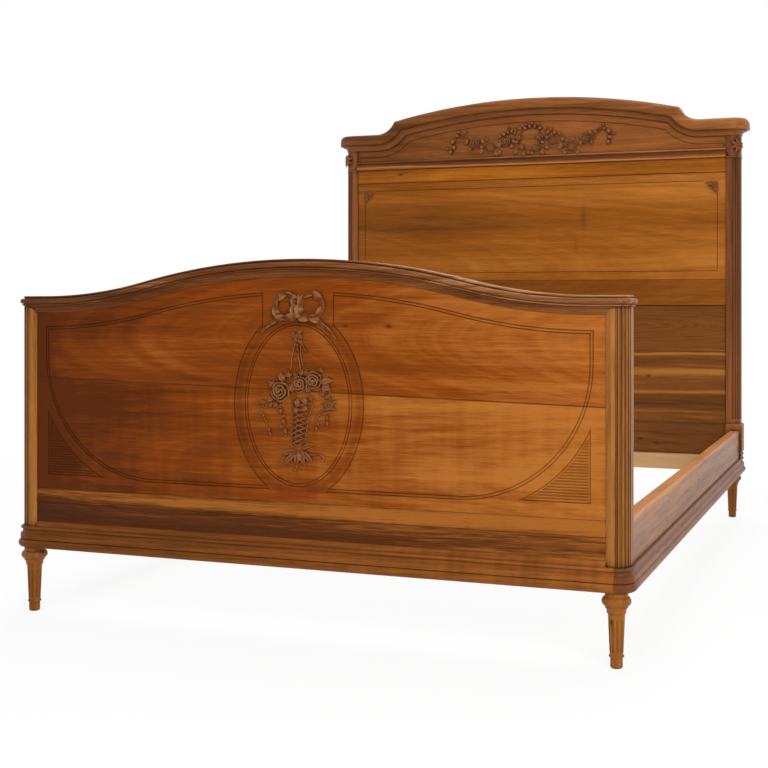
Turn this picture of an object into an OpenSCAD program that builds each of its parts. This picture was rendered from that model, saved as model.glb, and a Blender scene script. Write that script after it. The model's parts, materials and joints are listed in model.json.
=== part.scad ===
// Carved walnut bedstead of the French belle epoque kind.
// X runs across the bed, Y from the footboard (minus) to the headboard (plus), Z is up.
// The origin lies on the floor, under the middle of the bedstead.

/* [Bed] */
// Width across the outer faces of the posts
bed_w = 1560; // [1300:10:1700]
// Length from the front of the foot posts to the front of the head posts
bed_l = 2020; // [1800:10:2200]
// Height of the underside of the plinth above the floor
leg_h = 164; // [140:1:220]
// Gap left in a joint between a tongue or tenon and its slot
fit_gap = 0.3; // [0.1:0.05:0.6]

/* [Posts] */
// Width of a post, seen from the front
post_w = 50; // [46:1:70]
// Depth of a foot post, front to back
foot_post_d = 58; // [52:1:80]
// Depth of a head post, front to back
head_post_d = 62; // [62:1:80]
// Radius of the rounded outer corner that carries the flutes
corner_r = 30; // [24:1:36]
// Number of flutes round the corner
flute_n = 5; // [3:1:7]
// Radius of one flute
flute_r = 3.2; // [2:0.1:3.4]
// Width of the bevel beside the panel
bevel_w = 14; // [6:1:16]
// Depth of the bevel beside the panel
bevel_d = 6; // [3:0.5:7]

/* [Footboard] */
// Height of the flat ends of the foot cap
foot_end_z = 799; // [740:1:860]
// Rise of the arch above the flat ends
foot_rise = 86; // [60:1:110]
// Length of the flat run at each end, from the outer face of the post
foot_flat = 80; // [74:1:120]
// Share of the serpentine curve that belongs to the crown
crown_share = 0.59; // [0.45:0.01:0.7]
// Height of the cap moulding
foot_cap_h = 24; // [22:1:30]
// Overhang of the cap in front of the posts
foot_cap_over = 10; // [8:1:16]
// Height of the ogee moulding under the cap
ogee_h = 18; // [16:1:24]
// Projection of the ogee moulding from the panel
ogee_d = 9; // [7:0.5:14]
// Setback of the panel behind the front of the posts
panel_back = 7; // [6:0.5:12]
// Thickness of the panel boards
panel_t = 22; // [18:1:28]
// Height of the top of the bottom rail above the plinth
foot_rail_up = 98; // [80:1:120]
// Height of the lighter bevelled strip on the bottom rail
rail_strip_h = 36; // [20:1:50]
// Thickness of the bottom rail
foot_rail_t = 26; // [22:1:32]
// Height of the board joint at the middle of the footboard
seam_z = 575; // [520:1:620]
// Fall of the board joint from left to right
seam_fall = 38; // [0:1:60]

/* [Incised lines] */
// Width of one incised line
line_w = 2.4; // [1.5:0.1:4]
// Depth of one incised line
line_d = 2; // [1:0.1:3]
// Distance between the two lines of a pair
line_pair = 6.5; // [5:0.5:10]
// Distance of the lower line from the top of the arch
line_drop = 82; // [70:1:100]
// Distance of the line from the post
line_margin = 33; // [24:1:60]
// Height of the line above the bottom rail
line_foot = 34; // [24:1:60]
// Radius of the large lower corners of the line
line_corner_r = 300; // [200:5:330]
// Gap between the large corner and the reeded corner piece
reed_gap = 30; // [20:1:50]
// Spacing of the reeds in the corner pieces
reed_pitch = 6.4; // [5:0.1:12]
// Half width of the outer oval
oval_a = 168; // [140:1:190]
// Half height of the outer oval
oval_b = 222; // [180:1:230]
// Width of the band between the outer and the inner oval
oval_band = 29; // [20:1:40]
// Height of the middle of the ovals above the bottom rail
oval_up = 229; // [180:1:240]
// Half width of the field that holds the ribbon
bow_field = 93; // [70:1:110]

/* [Plinth] */
// Height of the plinth moulding
plinth_h = 54; // [50:1:64]
// Projection of the plinth torus in front of the posts
plinth_over = 14; // [12:1:20]
// Height of the sloped top behind the plinth bead
plinth_slope = 13; // [6:1:18]

/* [Feet] */
// Largest radius of the bulb at the top of a foot
bulb_r = 32; // [27:0.5:33]
// Radius of the tapered leg under the neck
leg_top_r = 18.5; // [16:0.5:22]
// Radius of the tapered leg above the ring
leg_low_r = 14.5; // [12:0.5:16]
// Radius of the toe on the floor
toe_r = 13.5; // [10:0.5:15]
// Number of flutes round a foot
foot_flute_n = 10; // [6:1:12]
// Distance of the front feet in front of the middle of the rounded corners
foot_forward = 8; // [0:0.5:10]
// Radius of the dowel at the top of a foot
dowel_r = 10; // [7:0.5:10]
// Depth that the dowel of a foot reaches into the post
dowel_in = 22; // [12:1:24]

/* [Side rails] */
// Thickness of a side rail
rail_t = 37; // [30:1:40]
// Setback of the side rail behind the outer face of the posts
rail_in = 2; // [0:1:6]
// Height of a side rail
rail_h = 153; // [130:1:165]
// Width of the ledger inside the rail
ledger_w = 49; // [30:1:60]
// Height of the ledgers and of the cross rail at the head
ledger_h = 55; // [35:1:60]
// Height of their undersides above the plinth's underside
ledger_up = 7; // [2:1:20]
// Distance of the ledger's ends from the posts
ledger_end = 60; // [30:5:150]
// Number of screws in one ledger
ledger_screws_n = 7; // [3:1:10]

/* [Headboard] */
// Height of the top of the arch
head_top_z = 1566; // [1530:1:1600]
// Rise of the arch above the flat ears of the cornice
head_rise = 113; // [90:1:130]
// Length of an ear, from the outer face of the post
ear_l = 143; // [120:1:160]
// Radius of the long arch
head_arch_r = 2500; // [2200:10:3000]
// Radius of the hollow step between arch and ear
step_r = 82; // [70:1:95]
// Height of the cornice moulding
head_cap_h = 42; // [38:1:48]
// Overhang of the cornice in front of the posts
head_cap_over = 30; // [24:1:36]
// Height of the cove under the cornice
cove_h = 20; // [16:1:26]
// Projection of the cove
cove_d = 18; // [12:1:20]
// Height of the carved capital block, from its necking to the cornice
capital_h = 98; // [80:1:110]
// Height of the moulding at the foot of the frieze
astragal_h = 34; // [26:1:40]
// Height of the rail under the frieze
head_rail_h = 53; // [40:1:70]
// Height of the large upper panel
upper_panel_h = 487; // [400:1:540]
// Height of each of the two upper planks
plank_h = 170; // [140:1:220]
// Thickness of the headboard boards
head_board_t = 20; // [16:1:24]
// Setback of the headboard boards behind the front of the posts
head_board_back = 10; // [8:1:16]
// Height of the plain block near the foot of the head post
block_top_up = 125; // [100:1:150]
// Projection of the plain block beyond the post
block_over = 8; // [4:1:12]
// Height of the beaded base under the plain block
base_bead_h = 24; // [18:1:30]
// Distance of the line on the frieze from the top of the arch
frieze_line_drop = 87; // [82:1:96]
// Distance of the line on the frieze from the posts
frieze_line_margin = 8; // [6:1:30]
// Distance of the line on the upper panel from the posts
panel_line_margin = 30; // [15:1:60]
// Height of the lower line on the upper panel above its edge
panel_line_up = 125; // [60:1:180]
// Size of the carved corner pieces on the upper panel
corner_carving = 50; // [36:1:60]
// Setback of the lower planks behind the upper panel
plank_back = 6; // [0:0.5:10]
// Depth of the pale cross rail at the head
head_ledger_d = 30; // [20:1:40]

/* [Carvings] */
// Relief of the carved flowers above their ground
relief = 12; // [8:1:16]
// Radius of the largest rose
rose_r = 17; // [12:1:22]
// Reach of the leaf on the capital beyond the post
capital_leaf = 12; // [8:1:16]

/* [Hidden] */
$fn = 64;
// Facets of the very large arcs
arc_fn = 720;
// Overcut that lets a cutter run past a face
over = 1;
// Depth of every groove, and of the tongue that fills it
tongue_l = 9;
// Thickness of a tongue
tongue_t = 8;
// Distance of a groove behind the face of its panel
tongue_back = 7;
// Distance of the tongues of the headboard behind the face of its boards
head_tongue_back = 6;
head_tongue_y = head_board_back + head_tongue_back;
// Length, thickness and height of the tenons of the footboard's rail
tenon_l = 22;
tenon_t = 10;
tenon_h = 48;
// Distance of a tenon behind the face of the rail and above the plinth
tenon_back = 8;
tenon_up = 28;
// Radius of the bead that parts the shaft of a head post from its capital block
neck_r = 4;
// Slot plate let into a post
plate_w = 18;
plate_h = 90;
plate_t = 3;
// Distance of a slot plate above the plinth
plate_up = 2;
// Hook plate let into the end of a rail, and its two hooks
hook_t = 4;
hook_h = 18;
hook_drop = 8;
hook_reach = 9;
hook_len = 70;
// Heights of the hooks from the middle of their plate
hook_low = -13;
hook_high = 15;
// Distance of the hook pins from the inner end of their plate
hook_pin_in = 18;
// Room behind a slot plate for the hooks, and beside, above and below each of them
pocket_d = 16;
pocket_gap = 1.5;
pocket_up = 3;
// Wood screws with flat slotted heads
screw_r = 2.5;
screw_head_r = 4.5;
screw_head_h = 2.4;
screw_l = 16;
// Distance of a screw from the end of its slot plate
screw_in = 6.5;
// Distance of the last screw from the end of a ledger
screw_end = 40;
// Distance of the corner carvings below the top of their panel
corner_drop = 30;
// Wood left past the end of a blind hole
blind = 4;
// Depth that the flutes keep clear of the necking at each end
flute_stop = 17;
// Bright parts
walnut = "peru";
walnut_dark = "sienna";
walnut_red = "chocolate";
beech = "burlywood";
steel = "gray";

half_w = bed_w / 2;
inner_w = half_w - post_w;
front_over = max(foot_cap_over, plinth_over);
total_l = front_over + bed_l + head_post_d;
foot_y = -total_l / 2 + front_over;
head_y = foot_y + bed_l;
plinth_top = leg_h + plinth_h;

// Serpentine of the foot cap: a convex crown and two hollow flanks that meet in tangent points
arch_x = half_w - foot_flat;
arch_turn = 2 * atan(foot_rise / arch_x);
arch_sum = arch_x / sin(arch_turn);
crown_r = arch_sum * crown_share;
flank_r = arch_sum - crown_r;
crown_cz = foot_end_z + foot_rise - crown_r;
flank_cz = foot_end_z + flank_r;
foot_rail_top = plinth_top + foot_rail_up;

// Stepped arch of the cornice: a long arch and, at each side, a hollow quarter that runs into the ear
ear_x = half_w - ear_l;
ear_z = head_top_z - head_rise;
arch_cz = head_top_z - head_arch_r;
step_cz = ear_z + step_r;
frieze_z = ear_z - head_cap_h - capital_h;
astragal_top = frieze_z + astragal_h;
head_panel_top = frieze_z - head_rail_h;
head_panel_low = head_panel_top - upper_panel_h;
plank_1_low = head_panel_low - plank_h;
ledger_top = leg_h + ledger_up + ledger_h;
plank_2_low = plank_1_low - (plank_1_low - ledger_top) * 0.7;

rail_outer = half_w - rail_in;
rail_inner = rail_outer - rail_t;
rail_y0 = foot_y + foot_post_d;
rail_y1 = head_y - block_over;
plate_x = (inner_w + rail_outer) / 2;
plate_z = plinth_top + plate_up + plate_h / 2;
hook_zs = [plate_z + hook_low, plate_z + hook_high];
screw_zs = [plate_z - plate_h / 2 + screw_in, plate_z + plate_h / 2 - screw_in];
pin_ys = [rail_y0 + hook_len - hook_pin_in, rail_y1 - hook_len + hook_pin_in];
block_low = plinth_top + base_bead_h;
block_top = plinth_top + block_top_up;

// Points where two circles meet; the one on the left of the line from a to b
function meet(a, ra, b, rb) =
    let (d = norm(b - a), u = (b - a) / d, k = (ra * ra - rb * rb + d * d) / (2 * d),
        h = sqrt(max(ra * ra - k * k, 0)))
    a + u * k + [-u[1], u[0]] * h;

// Corner between the arch and the hollow step, a distance d below the top line
function step_corner(d) =
    meet([0, arch_cz], head_arch_r - d, [ear_x, step_cz], step_r + d);

// Point between the crown and the flank, a distance d below the top line
function arch_joint(d) =
    [(crown_r - d) * sin(arch_turn), crown_cz + (crown_r - d) * cos(arch_turn)];

function ellipse(a, b, n) = [for (i = [0:n - 1]) [a * cos(360 * i / n), b * sin(360 * i / n)]];

// A board that stands up: its outline lies in X and Z, its thickness runs from y0 to y1
module slab(y0, y1) {
    translate([0, y1, 0])
        rotate([90, 0, 0])
            linear_extrude(y1 - y0)
                children();
}

// A moulding profile has its forward reach along x and its height along y.
// This runs it straight along X, with its zero line at height z.
module run_x(x0, x1, z) {
    translate([x1, 0, z])
        rotate([90, 0, -90])
            linear_extrude(x1 - x0)
                children();
}

// This runs it along a side, facing outwards
module run_y(x_face, y0, y1, z) {
    translate([x_face, y1, z])
        rotate([90, 0, 0])
            linear_extrude(y1 - y0)
                children();
}

// Solid through a row of rings that all have the same number of points.
// Where rings meet in a common point, the triangle that has no width there is left out.
module loft(rings) {
    n = len(rings);
    m = len(rings[0]);
    points = [for (r = rings) each r];
    sides = [for (i = [0:n - 2], j = [0:m - 1])
        let (a = i * m + j, b = i * m + (j + 1) % m)
        each [[a, a + m, b], [b, a + m, b + m]]];
    polyhedron(
        points = points,
        faces = concat(
            [[for (j = [0:m - 1]) j], [for (j = [m - 1:-1:0]) (n - 1) * m + j]],
            [for (t = sides) if (points[t[0]] != points[t[1]] && points[t[1]] != points[t[2]]) t]),
        convexity = 10);
}

// Rings of the right half, with their mirror images put before them
function both_sides(rings) = concat(
    [for (i = [len(rings) - 1:-1:1]) [for (p = rings[i]) [-p[0], p[1], p[2]]]],
    rings);

// One ring of a moulding at a front station. The station gives the place in X and Z of a line
// that lies d below the top line, and the outline is a list of [reach, d].
function front_ring(station, outline, back) =
    let (last = len(outline) - 1, low = station(outline[0][1]), high = station(outline[last][1]))
    concat([[low[0], back, low[1]]],
        [for (p = outline) let (q = station(p[1])) [q[0], -p[0], q[1]]],
        [[high[0], back, high[1]]]);

// One ring that has turned by an angle round the outer corner of a post; run is the way past it
function corner_ring(turn, run, outline, top, back_x, back_y) =
    let (last = len(outline) - 1, cx = half_w - corner_r)
    concat([[back_x, back_y, top - outline[0][1]]],
        [for (p = outline) [cx + (corner_r + p[0]) * sin(turn),
            corner_r - (corner_r + p[0]) * cos(turn) + run, top - p[1]]],
        [[back_x, back_y, top - outline[last][1]]]);

// Stations along the foot cap, from the middle to the end of the flank
crown_n = 14;
flank_n = 12;
foot_stations = concat(
    [for (i = [0:crown_n]) let (a = arch_turn * i / crown_n)
        function(d) [(crown_r - d) * sin(a), crown_cz + (crown_r - d) * cos(a)]],
    [for (i = [1:flank_n]) let (a = arch_turn * (1 - i / flank_n))
        function(d) [arch_x - (flank_r + d) * sin(a), flank_cz - (flank_r + d) * cos(a)]]);

// Stations along the cornice. Depth is the greatest distance below the top line that they serve.
step_n = 10;
function head_stations(depth) =
    let (c = step_corner(depth),
        turn = asin((c[0] - 4) / (head_arch_r - depth)),
        a0 = atan2(c[1] - step_cz, c[0] - ear_x) + 362)
    concat(
        [for (i = [0:crown_n]) let (a = turn * i / crown_n)
            function(d) [(head_arch_r - d) * sin(a), arch_cz + (head_arch_r - d) * cos(a)]],
        [function(d) step_corner(d)],
        [for (i = [0:step_n]) let (a = a0 + (270 - a0) * i / step_n)
            function(d) [ear_x + (step_r + d) * cos(a), step_cz + (step_r + d) * sin(a)]]);

// A straight station at x under a flat top line
function flat_station(x, top) = function(d) [x, top - d];

// Rings of a moulding that runs along the front and turns round both posts to the back
corner_n = 8;
function wrapped(stations, outline, top, back) = both_sides(concat(
    [for (s = stations) front_ring(s, outline, back)],
    [for (i = [0:corner_n])
        corner_ring(90 * i / corner_n, 0, outline, top, half_w - corner_r, back)],
    [corner_ring(90, back - corner_r, outline, top, half_w - corner_r, back)]));

function arc_points(c, r, a0, a1, n) =
    [for (i = [0:n]) let (a = a0 + (a1 - a0) * i / n) c + r * [cos(a), sin(a)]];

// Turns an outline of [reach, height] into [reach, distance below the top line]
function from_top(points, h, top) = [for (p = points) [p[0], top + h - p[1]]];

// This bends it round the outer corner of a post whose corner radius is corner_r
module run_corner(z) {
    translate([half_w - corner_r, corner_r, z])
        rotate([0, 0, -90])
            rotate_extrude(angle = 90)
                translate([corner_r, 0])
                    keep_forward(-corner_r)
                        children();
}

// The part of a profile that lies in front of reach f
module keep_forward(f) {
    intersection() {
        children();
        translate([f, -over])
            square([head_cap_over - f + over, 300]);
    }
}

// Region below the serpentine of the footboard, a distance d under its top line
module under_arch(d, half, low) {
    j = arch_joint(d);
    end_z = foot_end_z - d;
    difference() {
        union() {
            polygon([[-half, low], [half, low], [half, end_z], [arch_x, end_z], j,
                [-j[0], j[1]], [-arch_x, end_z], [-half, end_z]]);
            intersection() {
                translate([0, crown_cz])
                    circle(crown_r - d, $fn = arc_fn);
                translate([-j[0], j[1]])
                    square([2 * j[0], foot_rise]);
            }
        }
        for (s = [-1, 1])
            translate([s * arch_x, flank_cz])
                circle(flank_r + d, $fn = arc_fn);
    }
}

// Region below the stepped arch of the headboard, a distance d under its top line
module under_step(d, half, low) {
    c = step_corner(d);
    end_z = ear_z - d;
    difference() {
        union() {
            polygon([[-half, low], [half, low], [half, end_z], [ear_x, end_z], c,
                [-c[0], c[1]], [-ear_x, end_z], [-half, end_z]]);
            intersection() {
                translate([0, arch_cz])
                    circle(head_arch_r - d, $fn = arc_fn);
                translate([-c[0], c[1]])
                    square([2 * c[0], head_top_z - ear_z]);
            }
        }
        for (s = [-1, 1])
            translate([s * ear_x, step_cz])
                circle(step_r + d, $fn = 180);
    }
}

// Plan of a post, with its rounded outer corner and the bevel beside the panel
module post_plan(depth) {
    polygon([[inner_w, bevel_d], [inner_w + bevel_w, 0], [half_w - corner_r, 0],
        [half_w - corner_r, corner_r], [half_w, corner_r], [half_w, depth], [inner_w, depth]]);
    intersection() {
        translate([half_w - corner_r, corner_r])
            circle(corner_r);
        translate([half_w - corner_r, 0])
            square(corner_r);
    }
}

// Flutes down the rounded corner of a post
module corner_flutes(z0, z1) {
    for (i = [0:flute_n - 1]) {
        a = 90 / flute_n * (i + 0.5);
        translate([half_w - corner_r + corner_r * cos(a), corner_r - corner_r * sin(a), z0])
            cylinder(r = flute_r, h = z1 - z0, $fn = 24);
    }
}

// Slot for the tongue of a panel in the inner face of a post
module post_groove(y, z0, z1) {
    translate([inner_w - over, y - fit_gap, z0])
        cube([tongue_l + over + fit_gap, tongue_t + 2 * fit_gap, z1 - z0]);
}

// Cavity in a post for its slot plate and for the hooks behind it.
// It opens towards +Y; mirror it for the other end.
module slot_cavity() {
    translate([plate_x - plate_w / 2 - fit_gap, -plate_t, plate_z - plate_h / 2 - fit_gap])
        cube([plate_w + 2 * fit_gap, plate_t + over, plate_h + 2 * fit_gap]);
    for (z = hook_zs)
        translate([plate_x - hook_t / 2 - pocket_gap, -pocket_d, z - hook_h / 2 - hook_drop - pocket_up])
            cube([hook_t + 2 * pocket_gap, pocket_d, hook_h + hook_drop + 2 * pocket_up]);
    for (z = screw_zs)
        translate([plate_x, -screw_l - over, z])
            rotate([-90, 0, 0])
                cylinder(r = screw_r, h = screw_l, $fn = 24);
}

// Foot post, right-hand side, in the frame of the footboard
module foot_post() {
    difference() {
        translate([0, 0, plinth_top])
            linear_extrude(foot_end_z - foot_cap_h - plinth_top)
                post_plan(foot_post_d);
        corner_flutes(plinth_top - over, foot_end_z);
        post_groove(panel_back + tongue_back, foot_rail_top - tongue_l, foot_end_z);
        translate([inner_w - over, panel_back + tenon_back - fit_gap, plinth_top + tenon_up - fit_gap])
            cube([tenon_l + over + fit_gap, tenon_t + 2 * fit_gap, tenon_h + 2 * fit_gap]);
        translate([0, foot_post_d, 0])
            slot_cavity();
        translate([half_w - corner_r, corner_r - foot_forward, plinth_top - over])
            cylinder(r = dowel_r + fit_gap, h = dowel_in + over + fit_gap);
    }
}

// Places the right-hand piece, or its mirror image on the left
module at_side(s, y) {
    mirror([s < 0 ? 1 : 0, 0, 0])
        translate([0, y, 0])
            children();
}

module foot_post_left() {
    color(walnut) at_side(-1, foot_y) foot_post();
}

module foot_post_right() {
    color(walnut) at_side(1, foot_y) foot_post();
}

// Cross-section of the foot cap, from the underside forwards and up: fillet, torus and bead
function foot_cap_outline() =
    let (torus_r = foot_cap_h * 0.27, bead_r = foot_cap_h * 0.125, o = foot_cap_over,
        torus_z = foot_cap_h * 0.46, set_back = 12)
    from_top(concat(
        [[o - 5, 0], [o - 5, 3.5], [o - 8, 4.2]],
        arc_points([o - torus_r, torus_z], torus_r, -115, 115, 8),
        [[o - set_back, foot_cap_h - 2 * bead_r]],
        arc_points([o - set_back, foot_cap_h - bead_r], bead_r, -60, 90, 4)), foot_cap_h, 0);

module foot_cap() {
    color(walnut_dark)
        translate([0, foot_y, 0])
            loft(wrapped(foot_stations, foot_cap_outline(), foot_end_z, foot_post_d));
}

// Cross-section of the ogee under the cap, from the panel forwards
function ogee_outline() =
    let (lip = 3, hollow_r = ogee_d - 2)
    from_top(concat(
        arc_points([0, lip], lip, -60, 60, 4),
        arc_points([ogee_d, ogee_h - 4 - hollow_r], hollow_r, 180, 90, 5),
        [[ogee_d, ogee_h]]), ogee_h, foot_cap_h);

module foot_cap_ogee() {
    outline = ogee_outline();
    // Each point runs on until it meets the bevel of the post
    slant = bevel_w / bevel_d;
    x0 = inner_w - slant * (panel_back - bevel_d);
    high = foot_end_z - outline[len(outline) - 1][1];
    end_ring = concat([[x0, 0, foot_end_z - outline[0][1]]],
        [for (p = outline) [x0 + slant * p[0], -p[0], foot_end_z - p[1]]],
        [[x0, 0, high]]);
    rings = concat([for (s = foot_stations) front_ring(s, outline, 0)], [end_ring]);
    color(walnut_dark)
        translate([0, foot_y + panel_back, 0])
            loft(both_sides(rings));
}

// The footboard's boards: the whole field, which the slanting joint parts in two
module foot_field() {
    y0 = panel_back;
    slab(y0, y0 + panel_t)
        under_arch(foot_cap_h + fit_gap, inner_w, foot_rail_top);
    slab(y0 + tongue_back, y0 + tongue_back + tongue_t)
        under_arch(foot_cap_h + fit_gap, inner_w + tongue_l, foot_rail_top - tongue_l);
}

// Outline of the incised line round the footboard, drawn in by some distance
module frame_outline(inset) {
    half = inner_w - line_margin - inset;
    low = foot_rail_top + line_foot + inset;
    r = line_corner_r - inset;
    difference() {
        under_arch(line_drop + inset, half, low);
        for (s = [-1, 1])
            mirror([s < 0 ? 1 : 0, 0])
                difference() {
                    translate([half - r, low - over])
                        square([r + over, r + over]);
                    translate([half - r, low + r])
                        circle(r, $fn = 360);
                }
    }
}

// Everything that belongs to the medallion, where the frame line is broken off
module medallion_field(grow) {
    translate([0, foot_rail_top + oval_up])
        polygon(ellipse(oval_a + grow, oval_b + grow, 96));
    translate([-bow_field - grow, foot_rail_top + oval_up])
        square([2 * (bow_field + grow), foot_end_z]);
}

// Corner piece with reeds, right-hand side
module reed_corner(inset) {
    half = inner_w - line_margin;
    low = foot_rail_top + line_foot;
    size = line_corner_r - reed_gap;
    difference() {
        translate([half - size, low + inset])
            square([size - inset, size]);
        translate([half - line_corner_r, low + line_corner_r])
            circle(line_corner_r + reed_gap + inset, $fn = 360);
    }
}

// All the lines that are cut into the face of the footboard
module foot_lines() {
    low = foot_rail_top;
    oval_z = foot_rail_top + oval_up;
    difference() {
        union()
            for (d = [0, -line_pair])
                difference() {
                    frame_outline(d);
                    frame_outline(d + line_w);
                }
        medallion_field(0);
    }
    difference() {
        medallion_field(0);
        medallion_field(-line_w);
        translate([-inner_w, 0])
            square([2 * inner_w, low + line_foot]);
        under_cut_top();
    }
    for (g = [0, line_pair])
        translate([0, oval_z])
            difference() {
                polygon(ellipse(oval_a - oval_band - g, oval_b - oval_band - g, 96));
                polygon(ellipse(oval_a - oval_band - g - line_w, oval_b - oval_band - g - line_w, 96));
            }
    for (s = [-1, 1])
        mirror([s < 0 ? 1 : 0, 0]) {
            difference() {
                reed_corner(0);
                reed_corner(line_w);
            }
            intersection() {
                reed_corner(2 * line_w);
                for (z = [low + line_foot:reed_pitch:low + line_foot + line_corner_r])
                    translate([0, z])
                        square([inner_w, reed_pitch / 2]);
            }
        }
}

// Region above the frame line, which the sides of the ribbon field do not enter
module under_cut_top() {
    difference() {
        translate([-inner_w, foot_end_z - line_drop])
            square([2 * inner_w, 2 * foot_rise]);
        under_arch(line_drop - line_pair, inner_w, 0);
    }
}

// Half of the footboard's field, above or below the slanting joint
module seam_side(above) {
    reach = half_w;
    slope = seam_fall / (2 * inner_w);
    left = seam_z + slope * reach;
    right = seam_z - slope * reach;
    slab(-over, foot_post_d)
        polygon([[-reach, left], [reach, right], [reach, above ? 2 * foot_end_z : 0],
            [-reach, above ? 2 * foot_end_z : 0]]);
}

module foot_board(above) {
    translate([0, foot_y, 0])
        intersection() {
            difference() {
                foot_field();
                slab(panel_back - over, panel_back + line_d)
                    foot_lines();
            }
            seam_side(above);
        }
}

module foot_panel_upper() {
    color(walnut_red) foot_board(true);
}

module foot_panel_lower() {
    color(walnut_red) foot_board(false);
}

// Bottom rail of the footboard, with its bevelled upper strip, a groove for the panel and two tenons
module foot_bottom_rail() {
    y0 = panel_back;
    strip_z = foot_rail_top - rail_strip_h;
    color(walnut_dark)
        translate([0, foot_y, 0])
            difference() {
                union() {
                    run_x(-inner_w, inner_w, 0)
                        polygon([[-y0 - foot_rail_t, leg_h], [-y0, leg_h], [-y0, strip_z],
                            [-y0 + 2.5, strip_z + 1], [-y0 - 1, foot_rail_top],
                            [-y0 - foot_rail_t, foot_rail_top]]);
                    translate([-inner_w - tenon_l, y0 + tenon_back, plinth_top + tenon_up])
                        cube([2 * (inner_w + tenon_l), tenon_t, tenon_h]);
                }
                translate([-inner_w - over, y0 + tongue_back - fit_gap, foot_rail_top - tongue_l - fit_gap])
                    cube([2 * (inner_w + over), tongue_t + 2 * fit_gap, tongue_l + over]);
            }
}

// Cross-section of the plinth: torus, hollow and bead
module plinth_profile(back) {
    torus_r = plinth_h * 0.2;
    bead_r = 4;
    neck = 3;
    lip = plinth_over - 5;
    difference() {
        union() {
            translate([-back, 0])
                square([back + neck, plinth_h]);
            square([plinth_over - torus_r, 2 * torus_r]);
            translate([0, 2 * torus_r])
                square([lip, plinth_h - 2 * torus_r - 2 * bead_r]);
        }
        translate([lip + 3, plinth_h - 2 * bead_r - 3])
            circle(lip, $fn = 64);
        translate([neck, plinth_h - 2 * bead_r - 3])
            square([lip, 10]);
    }
    intersection() {
        translate([plinth_over - torus_r, torus_r])
            circle(torus_r, $fn = 48);
        square([plinth_over, 2 * torus_r]);
    }
    translate([bead_r, plinth_h - bead_r])
        circle(bead_r, $fn = 32);
}

module foot_plinth_front() {
    color(walnut_dark)
        translate([0, foot_y, 0]) {
            run_x(-half_w + corner_r, half_w - corner_r, leg_h)
                plinth_profile(panel_back);
            run_x(-inner_w, inner_w, plinth_top)
                polygon([[-panel_back, 0], [0, 0], [-panel_back, plinth_slope]]);
        }
}

// Corner block of the plinth at the foot, right-hand side. The post and the foot are dowelled into it.
module foot_corner() {
    difference() {
        union() {
            run_corner(leg_h)
                plinth_profile(corner_r);
            run_y(half_w, corner_r, foot_post_d, leg_h)
                keep_forward(-corner_r)
                    plinth_profile(corner_r);
            translate([inner_w, panel_back, leg_h])
                cube([half_w - corner_r - inner_w, foot_post_d - panel_back, plinth_h]);
        }
        translate([half_w - corner_r, corner_r - foot_forward, leg_h - over])
            cylinder(r = dowel_r + fit_gap, h = plinth_h + 2 * over);
    }
}

module foot_plinth_corner_left() {
    color(walnut_dark) at_side(-1, foot_y) foot_corner();
}

module foot_plinth_corner_right() {
    color(walnut_dark) at_side(1, foot_y) foot_corner();
}

// Turned and fluted foot, standing on the floor round its own axis
module turned_foot() {
    ring_z = 26;
    ring_r = 3;
    neck_z = leg_h - 45;
    bulb_z = leg_h - 20;
    difference() {
        rotate_extrude() {
            difference() {
                square([toe_r, ring_z]);
                translate([toe_r, 0])
                    rotate(45)
                        square(4, center = true);
            }
            translate([0, ring_z - ring_r])
                square([leg_low_r - 1, 2 * ring_r]);
            translate([leg_low_r - 1, ring_z])
                circle(ring_r, $fn = 32);
            polygon([[0, ring_z], [leg_low_r, ring_z], [leg_top_r, neck_z], [0, neck_z]]);
            difference() {
                square([bulb_r - 7, leg_h]);
                translate([-over, -over])
                    square([bulb_r + over, neck_z + over]);
                translate([bulb_r, neck_z + 3])
                    circle(11, $fn = 48);
            }
            translate([bulb_r - 11, bulb_z])
                circle(11, $fn = 48);
            translate([0, bulb_z])
                square([bulb_r - 11, 20]);
            square([dowel_r, plinth_top + dowel_in]);
        }
        for (i = [0:foot_flute_n - 1])
            rotate(360 / foot_flute_n * i)
                translate([leg_low_r + 0.6, 0, ring_z + 10])
                    rotate([0, atan((leg_top_r - leg_low_r) / (neck_z - ring_z)), 0])
                        cylinder(r = 2.2, h = neck_z - ring_z - 24, $fn = 24);
    }
}

// Feet stand under the rounded corners
module foot_at(s, y) {
    color(walnut)
        translate([s * (half_w - corner_r), y, 0])
            turned_foot();
}

module front_foot_left() {
    foot_at(-1, foot_y + corner_r - foot_forward);
}

module front_foot_right() {
    foot_at(1, foot_y + corner_r - foot_forward);
}

module rear_foot_left() {
    foot_at(-1, head_y + corner_r);
}

module rear_foot_right() {
    foot_at(1, head_y + corner_r);
}

// Side rail, right-hand side, with a rounded top edge and slots for its hooks
module side_rail() {
    edge_r = 8;
    difference() {
        translate([rail_inner, rail_y1, leg_h])
            rotate([90, 0, 0])
                linear_extrude(rail_y1 - rail_y0) {
                    square([rail_t, rail_h - edge_r]);
                    translate([edge_r, rail_h - edge_r])
                        square([rail_t - 2 * edge_r, edge_r]);
                    for (x = [edge_r, rail_t - edge_r])
                        translate([x, rail_h - edge_r])
                            circle(edge_r, $fn = 48);
                }
        for (y = [rail_y0, rail_y1])
            translate([plate_x - hook_t / 2 - fit_gap, y - hook_len - fit_gap,
                plate_z - plate_h / 2 - fit_gap])
                cube([hook_t + 2 * fit_gap, 2 * (hook_len + fit_gap), plate_h + 2 * fit_gap]);
        for (y = pin_ys)
            for (z = hook_zs)
                translate([rail_inner - over, y, z])
                    rotate([0, 90, 0])
                        cylinder(r = screw_r + fit_gap, h = rail_t - blind + over, $fn = 24);
    }
}

module side_rail_left() {
    color(walnut) at_side(-1, 0) side_rail();
}

module side_rail_right() {
    color(walnut) at_side(1, 0) side_rail();
}

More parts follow.
